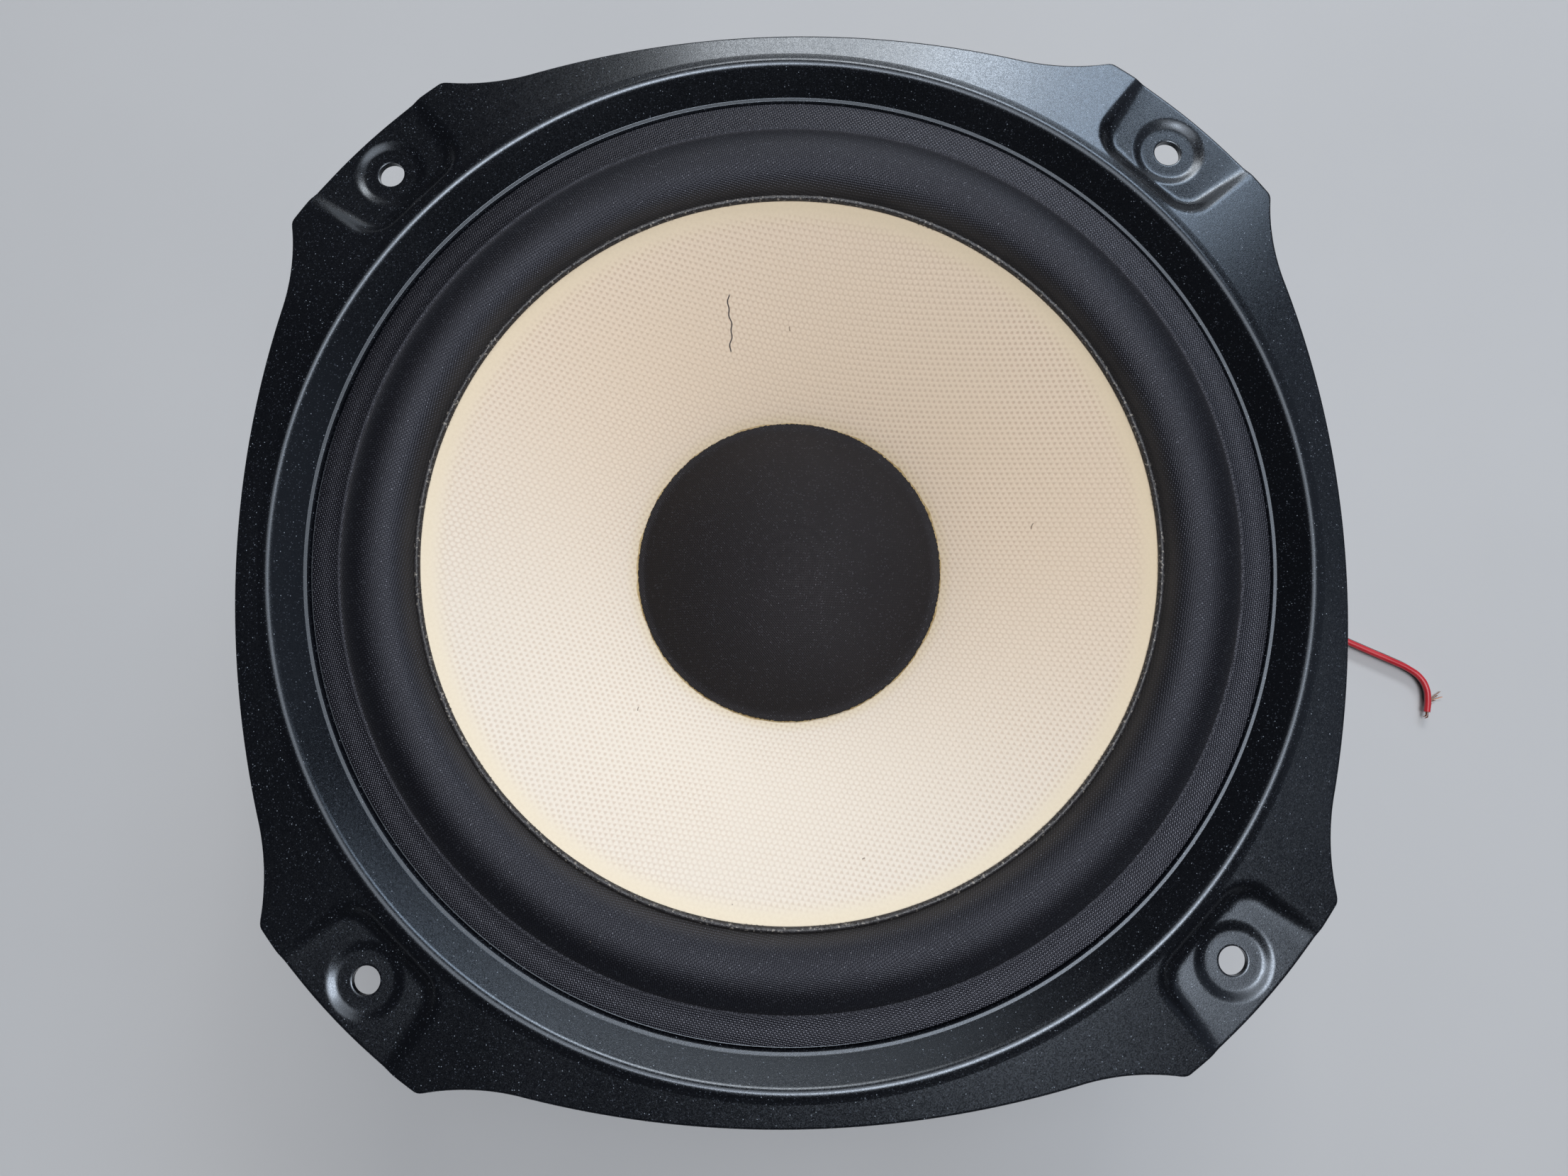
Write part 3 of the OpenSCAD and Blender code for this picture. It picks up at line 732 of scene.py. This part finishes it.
def well_rings(points, loop, ear, radii, drop):
    """Rings of points from a block's edge in to the hole, which end evenly spaced."""
    middle = np.array([math.cos(ear), math.sin(ear)]) * HOLE[0]
    way = points[loop, :2] - middle
    own = np.unwrap(np.arctan2(way[:, 1], way[:, 0]))
    pitch = 2 * math.pi / len(loop)
    even = round(own[0] / pitch) * pitch + np.sign(own[-1] - own[0]) * pitch * np.arange(len(loop))
    edge = np.hypot(way[:, 0], way[:, 1])
    rings = []
    for share in (0.25, 0.5, 0.75):
        reach = edge + (radii[0] - edge) * share
        rings.append(np.stack([reach * np.cos(own), reach * np.sin(own)], -1))
    for radius in radii:
        turn = own + (even - own) * step_up((radii[0] - radius) / 2.5)
        rings.append(radius * np.stack([np.cos(turn), np.sin(turn)], -1))
    rings = [middle + ring for ring in rings]
    return [np.column_stack([xy, frame_height(xy[:, 0], xy[:, 1]) - drop]) for xy in rings]


def flange_mesh():
    """Points and quads of the flange, with the four screw holes through it."""
    turn = column_angles()
    columns = len(turn)
    rows, top, under = flange_rows(turn)
    points = np.vstack(rows)
    count = EAR_COLUMNS[1] - EAR_COLUMNS[0]
    gone = set()
    loops = []
    for quarter in range(4):
        column = EAR_COLUMNS[0] + quarter * columns // 4
        for row in (top, under):
            gone.update(
                (row + i) * columns + (column + j) % columns
                for i in range(count) for j in range(count)
            )
            loops.append(block_loop(row, row + count, column, count, columns))
    faces = [f for f in band_faces(len(rows), columns, closed=True) if f[0] not in gone]
    for index in range(0, len(loops), 2):
        ear = math.radians(45 + 90 * (index // 2))
        ends = []
        sides = ((loops[index], WELL_RADII, 0.0), (loops[index + 1], WELL_RADII[3:], SHEET))
        for loop, radii, drop in sides:
            rings = well_rings(points, loop, ear, radii, drop)
            size = len(loop)
            base = len(points)
            points = np.vstack([points] + rings)
            previous = loop
            for i in range(len(rings)):
                here = list(range(base + i * size, base + (i + 1) * size))
                faces.extend(quads_between(previous, here))
                previous = here
            ends.append(previous)
        matched = [nearest(points, n, ends[1]) for n in ends[0]]
        faces.extend(quads_between(ends[0], matched))
    return points, faces


def nearest(points, index, others):
    """The one of the others that is closest to a point in plan."""
    away = np.hypot(*(points[others, :2] - points[index, :2]).T)
    return others[int(np.argmin(away))]


def quads_between(first, second):
    """Quads that join two loops of as many points."""
    size = len(first)
    return [(first[j], first[(j + 1) % size], second[(j + 1) % size], second[j]) for j in range(size)]


def basket_sections():
    """Paired front and back points of the basket below the landing."""
    line = [
        (LANDING_R, LANDING_Z), (79.0, LANDING_Z), (77.8, -0.7), (76.6, -9.0), (57.0, -38.6), (55.0, SHELF_Z),
        (46.8, SHELF_Z), (45.4, SHELF_Z - 1.4), (44.2, CUP_Z + 1.2), (43.0, CUP_Z), (23.0, CUP_Z),
    ]
    radii = (0, 1.0, 1.0, 4.0, 2.5, 2.5, 1.2, 1.2, 1.0, 1.0, 0)
    front, back = (fillet(side, radii, 4) for side in (line, lowered(line, SHEET)))
    wall = 5 * 3
    share = np.array([0.02, 0.05, 0.09, 0.14, 0.2, 0.3, 0.4, 0.5, 0.6, 0.7, 0.8, 0.86, 0.91, 0.95, 0.98])

    def fill(side):
        added = side[wall] + np.outer(share, side[wall + 1] - side[wall])
        return np.vstack([side[:wall + 1], added, side[wall + 1:]])

    return fill(front), fill(back)


def arm_half_width(front):
    """Half width of an arm at each row, wider where it runs into a ring."""
    run = np.concatenate([[0], np.cumsum(np.linalg.norm(np.diff(front, axis=0), axis=1))])
    first = int(np.argmax(front[:, 1] < WINDOW_Z))
    last = int(np.argmax(front[:, 0] < 55.6))
    corner = 4.5
    start, end = np.clip(run - run[first], 0, corner), np.clip(run[last] - run, 0, corner)
    wider = [corner - np.sqrt(corner ** 2 - (corner - s) ** 2) for s in (start, end)]
    return ARM_HALF + wider[0] + wider[1], first, last


def basket_mesh():
    """Points and quads of the basket: four ribbed arms between the rim and the spider's shelf."""
    front, back = basket_sections()
    half, first, last = arm_half_width(front)
    normal = (front - back) / np.linalg.norm(front - back, axis=1)[:, None]
    gaps, arm = 26, 13
    rows = ([], [])
    for i in range(len(front)):
        side = math.asin(min(half[i] / front[i, 0], 0.69))
        spans = ((-math.pi / 4, -side, gaps), (-side, side, 2 * arm), (side, math.pi / 4, gaps))
        middles = math.pi / 4 + np.arange(4) * math.pi / 2
        turn = np.concatenate([
            np.linspace(mid + start, mid + end, number + 1)[:-1]
            for mid in middles for start, end, number in spans
        ])
        v = folded_arm(turn) * front[i, 0]
        deep = rib_depth(v, i, first, last, front)
        for k, side_line in enumerate((front, back)):
            r = side_line[i, 0] - normal[i, 0] * deep
            z = side_line[i, 1] - normal[i, 1] * deep
            rows[k].append(ring_points(r, turn, z))
    columns = len(turn)
    everything = rows[0] + rows[1][::-1]
    count = len(front)
    points = np.vstack(everything)
    window = window_columns(gaps, columns)
    faces = []
    for f in band_faces(len(everything), columns, closed=True):
        row, column = divmod(f[0], columns)
        level = row if row < count else 2 * count - 2 - row
        if row not in (count - 1, 2 * count - 1) and first <= level < last and column in window:
            continue
        faces.append(f)
    for quarter in range(4):
        start = quarter * columns // 4 - gaps
        loop = block_loop(first, last, start, 2 * gaps, columns)
        behind = [(2 * count - 1 - k // columns) * columns + k % columns for k in loop]
        faces.extend(quads_between(loop, behind))
    return points, faces


def folded_arm(turn):
    """Angle away from the nearest arm's middle."""
    return np.abs(np.mod(turn, math.pi / 2) - math.pi / 4)


def rib_depth(v, row, first, last, front):
    """Depth of the channel pressed along each arm."""
    if not first < row < last:
        return 0.0 * v
    z = front[row, 1]
    ends = step_up((WINDOW_Z - 3 - z) / 5) * step_up((z + 38.5) / 4)
    return 1.8 * ends * (1 - step_up((v - 4.0) / 2.6))


def window_columns(gaps, columns):
    """The columns that lie between the arms."""
    starts = [quarter * columns // 4 - gaps for quarter in range(4)]
    return {(start + j) % columns for start in starts for j in range(2 * gaps)}


def rounded_plate(x0, x1, half, z0, z1, corner, bevel=0.2):
    """A flat plate with rounded outer corners and slightly rounded edges."""
    ring = []
    for cx, cy, a0, r in ((x1 - corner, half - corner, 0, corner), (x0 + 0.5, half - 0.5, 90, 0.5),
                          (x0 + 0.5, 0.5 - half, 180, 0.5), (x1 - corner, corner - half, 270, corner)):
        for a in np.radians(np.linspace(a0, a0 + 90, 9)):
            ring.append((cx, cy, r, math.cos(a), math.sin(a)))
    ring = np.array(ring)
    rows = []
    for inset, z in ((bevel, z0), (0, z0 + bevel), (0, z1 - bevel), (bevel, z1)):
        r = ring[:, 2] - inset
        x = ring[:, 0] + r * ring[:, 3]
        y = ring[:, 1] + r * ring[:, 4]
        rows.append(np.column_stack([x, y, np.full(len(ring), z)]))
    size = len(ring)
    faces = band_faces(4, size)
    faces.append(tuple(range(size)))
    faces.append(tuple(range(3 * size, 4 * size)))
    return np.vstack(rows), faces


def joined(parts):
    """Several point and face lists as one."""
    points, faces, base = [], [], 0
    for p, f in parts:
        points.append(p)
        faces.extend(tuple(k + base for k in face) for face in f)
        base += len(p)
    return np.vstack(points), faces


def make_basket(material):
    tab_x = high("terminal_board", 0) + 0.5
    tab = rounded_plate(53.5, tab_x, 17, SHELF_Z - SHEET, SHELF_Z - 0.03, 3.5)
    points, faces = joined([flange_mesh(), basket_mesh(), tab])
    piece = solid("pressed_frame", points, faces, material, 30)
    finish_piece(piece, STILL, "powder_coated_steel", "basket")


# ---------------------------------------- moving parts

def finish_piece(piece, body, slot, *nodes):
    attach(piece, body)
    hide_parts(*nodes)


def finish_bent(piece, node):
    """Hides the piece's CAD node, bakes its transform and reads its points in millimetres."""
    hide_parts(node)
    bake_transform(piece)
    co = np.zeros(len(piece.data.vertices) * 3)
    piece.data.vertices.foreach_get("co", co)
    co = co.reshape(-1, 3) / MM


def cone_z(r):
    s = (r - CONE_NECK_R) / (CONE_R - CONE_NECK_R)
    return CONE_NECK_Z + (CONE_EDGE_Z - CONE_NECK_Z) * (s + CONE_BOW * s * (1 - s))


def make_surround(material):
    """The roll with its flat outer band, set a little off centre as it was glued."""
    mid, width = (ROLL_OUT + ROLL_IN) / 2, ROLL_OUT - ROLL_IN
    arc_r = (width ** 2 / 4 + ROLL_RISE ** 2) / (2 * ROLL_RISE)
    arc_a = math.asin(width / 2 / arc_r)
    line = [(85.85, BAND_Z - 0.25), (85.8, BAND_Z - 0.05), (85.6, BAND_Z), (83.5, BAND_Z), (81.6, BAND_Z),
            (81.25, BAND_Z + 0.08), (81.0, BAND_Z + 0.1), (80.82, BAND_Z)]
    for a in np.linspace(arc_a, -arc_a, 49):
        line.append((mid + arc_r * math.sin(a), BAND_Z + ROLL_RISE - arc_r * (1 - math.cos(a))))
    line.append((66.75, BAND_Z + 0.15))
    line.append((66.4, BAND_Z + 0.4))
    front = np.array(line)
    back = lowered(front, 0.55)
    back[:8, 1] = LANDING_Z + 0.01
    back[-2:, 1] = front[-2:, 1] - 0.3

    def shifted(points, turn):
        share = step_up((points[..., 0:1] ** 2 + points[..., 1:2] ** 2 - 68 ** 2) / (85 ** 2 - 68 ** 2))
        return points + share * np.array([0.22, 0.12, 0])

    piece = lathe("surround_cloth", closed_sheet(front, back), material, 720, 40, shifted)
    finish_bent(piece, "surround")


def make_edge_glue(material):
    """The bead of black adhesive round the cone's edge, speckled with small lumps."""
    line = [(66.12, 1.30), (66.22, 1.62), (66.5, 1.92), (66.85, 1.9), (67.15, 1.55), (67.1, 1.2), (66.6, 1.0)]

    def lumpy(points, turn):
        radial = ragged(turn, (3, 7, 31, 149, 263), 0.05) + ragged(turn, (389, 431, 467, 491), 0.11)
        height = ragged(turn, (61, 113, 171, 229), 0.07)
        lift = np.array([0, 0.6, 1, 0.8, 0.1, 0, 0])[:, None]
        scale = 1 + radial * np.array([1, 1, 0.5, 0, 0, 0, 0])[:, None] / 66
        points = points * np.stack([scale, scale, np.ones_like(scale)], -1)
        points[..., 2] += lift * height
        return points

    piece = lathe("cone_edge_adhesive", line, material, 1800, 60, lumpy)
    finish_piece(piece, MOVING, "black_adhesive", "edge_glue")


def make_cone(material):
    r = np.linspace(CONE_R, CONE_NECK_R + 0.05, 64)
    front = np.column_stack([r, cone_z(r)])
    back = lowered(front, 0.7)
    back[:, 0] = np.clip(back[:, 0], CONE_NECK_R + 0.05, CONE_R)
    piece = lathe("woven_cone", closed_sheet(front, back), material, 360, 40)
    finish_piece(piece, MOVING, "woven_cone", "cone")


def make_dust_cap(material):
    """The woven dome, whose cut rim is a little frayed."""
    rim_z = cone_z(CAP_R) + 0.05 + 0.5
    base_r = CAP_R - 1.3
    rise = high("dust_cap", 2) - rim_z
    dome_r = (base_r ** 2 + rise ** 2) / (2 * rise)
    dome_a = math.asin(base_r / dome_r)
    line = [
        (CAP_R, rim_z - 0.14), (CAP_R - 0.12, rim_z), (CAP_R - 0.6, rim_z + 0.02),
        (CAP_R - 1.0, rim_z + 0.02), (CAP_R - 1.25, rim_z + 0.06),
    ]
    for a in np.linspace(dome_a, 0, 41)[1:-1]:
        line.append((dome_r * math.sin(a), rim_z + rise - dome_r * (1 - math.cos(a))))
    line.append((0.02, rim_z + rise))
    front = np.array(line)
    back = lowered(front, 0.45)
    back[-1] = (0.02, front[-1, 1] - 0.45)

    def frayed(points, turn):
        r = np.hypot(points[..., 0], points[..., 1])
        edge = step_up((r - (CAP_R - 0.5)) / 0.45)[..., None]
        teeth = ragged(turn, (5, 97, 143, 211), 0.05) + rng.uniform(-0.09, 0.09, turn.size)
        out = 1 + teeth[None, :, None] / CAP_R
        return points * (1 + edge * (out - 1) * np.array([1, 1, 0]))

    piece = lathe("dust_cap_cloth", closed_sheet(front, back), material, 720, 40, frayed)
    finish_piece(piece, MOVING, "black_cloth", "dust_cap")


def make_cap_glue(material):
    """The uneven line of amber adhesive round the dust cap."""
    r0, r1 = CAP_R - 0.7, CAP_R + 0.25
    line = [
        (r0, cone_z(r0) - 0.05), (r0, cone_z(r0) + 0.5), (r0 + 0.45, cone_z(r0) + 0.52),
        (r1 - 0.4, cone_z(r1 - 0.4) + 0.13), (r1, cone_z(r1) + 0.02), (r1, cone_z(r1) - 0.1),
    ]

    def uneven(points, turn):
        out = 1 + ragged(turn, (2, 5, 9, 17, 37), 0.22) / CAP_R
        share = np.array([0, 0, 0.4, 0.9, 1, 1])[:, None]
        scale = 1 + share * (out - 1)
        slope = (CONE_EDGE_Z - CONE_NECK_Z) / (CONE_R - CONE_NECK_R)
        lift = slope * (scale - 1) * np.hypot(points[..., 0], points[..., 1])
        points = points * np.stack([scale, scale, np.ones_like(scale)], -1)
        points[..., 2] += lift
        return points

    piece = lathe("dust_cap_adhesive", line, material, 720, 60, uneven)
    finish_piece(piece, MOVING, "amber_adhesive", "dust_cap_glue")


def make_spider(material):
    """The corrugated disc that centres the coil."""
    top, inner, flat, outer = SHELF_Z + 0.5, 20.85, 47.5, high("spider", 0)
    line = [(outer, top - 0.1), (outer - 0.2, top), (flat + 1.5, top)]
    for t in np.linspace(0, 1, 101):
        line.append((flat - (flat - inner) * t, top + 1.5 * math.sin(2 * math.pi * 5 * t)))
    line.append((19.65, top))
    front = np.array(line)
    back = lowered(front, 0.45)
    piece = lathe("spider_cloth", closed_sheet(front, back), material, 360, 50)
    finish_bent(piece, "spider")


def make_coil(former, winding, wrap, amber):
    """Former, winding and collar as thin turned sleeves."""
    for name, node, r_in, r_out, material, slot in (
        ("coil_former", "voice_coil_former", 19.05, 19.2, former, "polyimide"),
        ("coil_winding", "voice_coil_winding", 19.2, 19.7, winding, "copper"),
        ("former_wrap", "former_collar", 19.2, 19.5, wrap, "kraft_wrap"),
    ):
        z0, z1, b = low(node, 2), high(node, 2), min(0.1, (r_out - r_in) / 3)
        line = [(r_in, z0 + b), (r_in + b, z0), (r_out - b, z0), (r_out, z0 + b),
                (r_out, z1 - b), (r_out - b, z1), (r_in + b, z1), (r_in, z1 - b)]
        finish_piece(lathe(name, line, material, 180), MOVING, slot, node)
    z0, z1 = low("neck_glue", 2), high("neck_glue", 2)
    line = [(19.2, z1), (19.2, z0 - 0.1), (19.65, z0), (19.95, z0 + 0.5), (20.4, z1)]

    def uneven(points, turn):
        lift = ragged(turn, (7, 13, 29), 0.12)
        return points + np.stack([0 * turn, 0 * turn, lift], -1)

    finish_piece(lathe("neck_adhesive", line, amber, 240, 60, uneven), MOVING, "amber_adhesive", "neck_glue")


def make_tinsel(material):
    """The two braided leads."""
    path = [
        (56.9, 7, -37), (55.6, 7.1, -34.3), (52.2, 7.4, -31.9), (47.8, 7.8, -30.6), (43, 8.1, -30.3),
        (38.4, 8, -30.9), (34, 7.6, -32.3), (30.2, 7.1, -34.1), (27, 6.7, -35.7), (24.2, 6.2, -36.7),
        (21.5, 5.9, -36.9),
    ]
    for side, name in ((-1, "positive"), (1, "negative")):
        points, faces = tube_mesh([(x, side * y, z) for x, y, z in path], 0.5, 14, 8)
        piece = solid("tinsel_braid_" + name, points, faces, material, 50)
        finish_bent(piece, "tinsel_lead_" + name)


# ---------------------------------------- motor and terminals

def ring_piece(name, node, r_in, c, material, slot):
    """A flat ring with its edges chamfered by c, as large as its CAD node."""
    z0, z1, r_out = low(node, 2), high(node, 2), high(node, 0)
    line = [
        (r_in, z0 + c), (r_in + c, z0), (r_out - c, z0), (r_out - c * 0.25, z0 + c * 0.25),
        (r_out, z0 + c), (r_out, z1 - c), (r_out - c * 0.25, z1 - c * 0.25), (r_out - c, z1),
        (r_in + c, z1), (r_in, z1 - c),
    ]
    finish_piece(lathe(name, line, material, 256, 25), STILL, slot, node)


def make_motor(steel, ferrite_grey):
    ring_piece("front_plate_ring", "front_plate", 20.4, 0.4, steel, "zinc_plated_steel")
    ring_piece("ferrite_ring", "ferrite_magnet", 25, 0.9, ferrite_grey, "ferrite")
    ring_piece("back_plate_ring", "back_plate", 6, 0.9, steel, "zinc_plated_steel")


def paint_nodes(finishes):
    for node, material in finishes.items():
        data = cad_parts[node].data
        data.materials.clear()
        data.materials.append(material)


# ---------------------------------------- wires

RED_PATH = [
    (75.2, -7, -37.1), (78.4, -7, -37.1), (82.2, -6.1, -37.8), (85.9, -3.8, -39.8), (88.6, -0.9, -43),
    (90.4, 1.5, -46.9), (91.8, 3, -51.3), (93.2, 3.8, -55.6), (94.7, 4.1, -60), (96.5, 4, -64.2),
    (98.9, 3.4, -67.9), (102, 2.4, -71.3), (105.7, 1, -74.1), (109.8, -0.6, -75.9), (114, -2.4, -76.5),
    (118.6, -4.3, -76.5), (123.2, -6.4, -76.5), (127.8, -8.5, -76.5), (132.4, -10.6, -76.5),
    (136.9, -12.8, -76.5), (141.4, -15, -76.5), (145.8, -17.1, -76.5), (149.6, -19.1, -76.5),
    (152.2, -21.3, -76.5), (153.4, -24, -76.5), (153.4, -27, -76.5), (152.9, -29.6, -76.5),
]
BLACK_PATH = [
    (75.2, 7, -37.1), (78.4, 7, -37.1), (82.2, 6.8, -38.1), (85.3, 6.4, -40.6), (87.4, 6.1, -44.2),
    (88.9, 5.8, -48.2), (90.3, 5.6, -52.3), (91.7, 5.5, -56.5), (93.3, 5.3, -61), (95.3, 5, -65.3),
    (97.9, 4.4, -69.3), (101.2, 3.3, -72.8), (105.2, 1.8, -75.6), (109.7, 0, -77.3),
    (114.2, -1.9, -77.9), (118.8, -3.8, -77.9), (123.4, -5.9, -77.9), (128, -8, -77.9),
    (132.6, -10.1, -77.9), (137.1, -12.3, -77.9), (141.6, -14.5, -77.9), (146, -16.6, -77.9),
    (149.9, -18.7, -77.9), (152.6, -21, -77.9), (153.9, -24, -77.9), (153.9, -26.6, -77.9),
]
WIRE_R = 0.75


def wire_curve(name, path, material):
    data = bpy.data.curves.new(name, "CURVE")
    data.dimensions = "3D"
    data.bevel_depth = WIRE_R * MM
    data.bevel_resolution = 4
    data.use_fill_caps = True
    data.resolution_u = 8
    spline = data.splines.new("BEZIER")
    spline.bezier_points.add(len(path) - 1)
    for point, place in zip(spline.bezier_points, path):
        point.co = Vector(place) * MM
        point.handle_left_type = point.handle_right_type = "AUTO"
    data.materials.append(material)
    piece = bpy.data.objects.new(name, data)
    bpy.context.scene.collection.objects.link(piece)
    return piece


def strand_bundle(name, paths, material):
    """Fine copper strands as one mesh."""
    return solid(name, *joined([tube_mesh(path, 0.09, 6, 5) for path in paths]), material, 50)


def strand_paths(start, ends, spread):
    """One path for each end: out of the wire together, then apart."""
    paths = []
    x, y, z = start
    for i, (ex, ey, ez) in enumerate(ends):
        a = 2 * math.pi * i / len(ends)
        dx, dz = spread * math.cos(a), spread * math.sin(a)
        middle = (x + (ex - x) * 0.45 + dx, y + (ey - y) * 0.6 - 0.3, z + (ez - z) * 0.5 + dz)
        paths.append([(x + dx, y + 0.8, z + dz), (x + dx, y - 0.2, z + dz), middle, (ex, ey, ez)])
    return paths


def make_wires(red, black, copper):
    red_ends = [
        (152.4, -31.1, -76.9), (152.7, -31.0, -76.6), (152.1, -30.7, -77.0), (152.9, -30.9, -76.9),
        (152.5, -30.5, -76.3),
    ]
    red_strands = strand_bundle("red_wire_copper", strand_paths(RED_PATH[-1], red_ends, 0.24), copper)
    finish_piece(red_strands, STILL, "copper", "red_wire_strands")
    black_ends = [
        (157.6, -24.7, -78.25), (156.9, -25.6, -78.3), (156.2, -26.8, -78.3), (155.2, -27.6, -78.25),
        (157.9, -26.0, -78.1),
    ]
    curl = strand_paths(BLACK_PATH[-1], black_ends, 0.2)
    black_strands = strand_bundle("black_wire_copper", curl, copper)
    finish_piece(black_strands, STILL, "copper", "black_wire_strands")
    for name, path, material, node, strands, length in (
        ("red_wire_lead", RED_PATH, red, "red_wire", red_strands, 0.1156),
        ("black_wire_lead", BLACK_PATH, black, "black_wire", black_strands, 0.1119),
    ):
        piece = wire_curve(name, path, material)
        finish_piece(piece, STILL, node.replace("wire", "insulation"), node)


# ---------------------------------------- the whole

def make_floor(material):
    size = 2500
    corners = ((-size, -size), (size, -size), (size, size), (-size, size))
    floor = solid("floor", [(x, y, FLOOR_Z) for x, y in corners], [(0, 1, 2, 3)], material)


make_camera()
copper = moulded("bare_copper", (0.60, 0.25, 0.12), (0.75, 0.36, 0.2), 0.3, Metallic=1.0)
make_wires(
    moulded("insulation_red", (0.42, 0.012, 0.022), (0.52, 0.03, 0.04), 0.34, Specular_IOR_Level=0.5),
    moulded("insulation_black", (0.012, 0.012, 0.013), (0.022, 0.021, 0.022), 0.36, Specular_IOR_Level=0.5),
    copper,
)
make_lights()
make_floor(floor_paint())

make_basket(powder_coat())
make_surround(black_cloth(
    "surround_cloth_black", 77, 0.365, 0.365, (0.0072, 0.0072, 0.0112), (0.002, 0.002, 0.0032),
    0.42, 0.20, 0.40, (0.84, 0.86, 1.0), 0.12,
))
make_edge_glue(glue("adhesive_black", (0.010, 0.009, 0.010), (0.035, 0.032, 0.035), 0.38, 1900, 0.6))
make_cone(cone_cloth())
make_dust_cap(black_cloth(
    "cap_cloth_black", 39, 0.36, 0.31, (0.0066, 0.0058, 0.0070), (0.002, 0.0018, 0.002),
    0.60, 0.15, 0.31, (1.0, 0.93, 0.98),
))
amber = glue("adhesive_amber", (0.36, 0.24, 0.10), (0.60, 0.47, 0.26), 0.4, 500)
make_cap_glue(amber)
make_spider(resined_cloth())
make_coil(
    moulded("polyimide_amber", (0.36, 0.12, 0.02), (0.48, 0.2, 0.05), 0.25, Coat_Weight=0.3),
    wound_copper(),
    moulded("kraft_paper", (0.50, 0.36, 0.2), (0.62, 0.48, 0.3), 0.8),
    amber,
)
tinsel = braid("tinsel_copper", (0.22, 0.09, 0.04), (0.72, 0.40, 0.22))
make_tinsel(tinsel)
steel = plated_steel("zinc_steel", (0.52, 0.53, 0.56), 0.36)
make_motor(steel, ferrite())
brass = plated_steel("lug_brass", (0.70, 0.55, 0.26), 0.32)
paint_nodes({
    "pole_piece": steel,
    "staking_rivets": steel,
    "terminal_board": moulded("phenolic_brown", (0.17, 0.075, 0.025), (0.24, 0.115, 0.045), 0.45),
    "terminal_board_rivet": plated_steel("bright_rivet", (0.72, 0.73, 0.75), 0.28),
    "lug_positive": brass,
    "lug_negative": brass,
    "lug_rivets": brass,
    "solder_joints": moulded("solder_grey", (0.50, 0.51, 0.53), (0.66, 0.67, 0.69), 0.3, Metallic=1.0),
    "tinsel_anchors": amber,
})
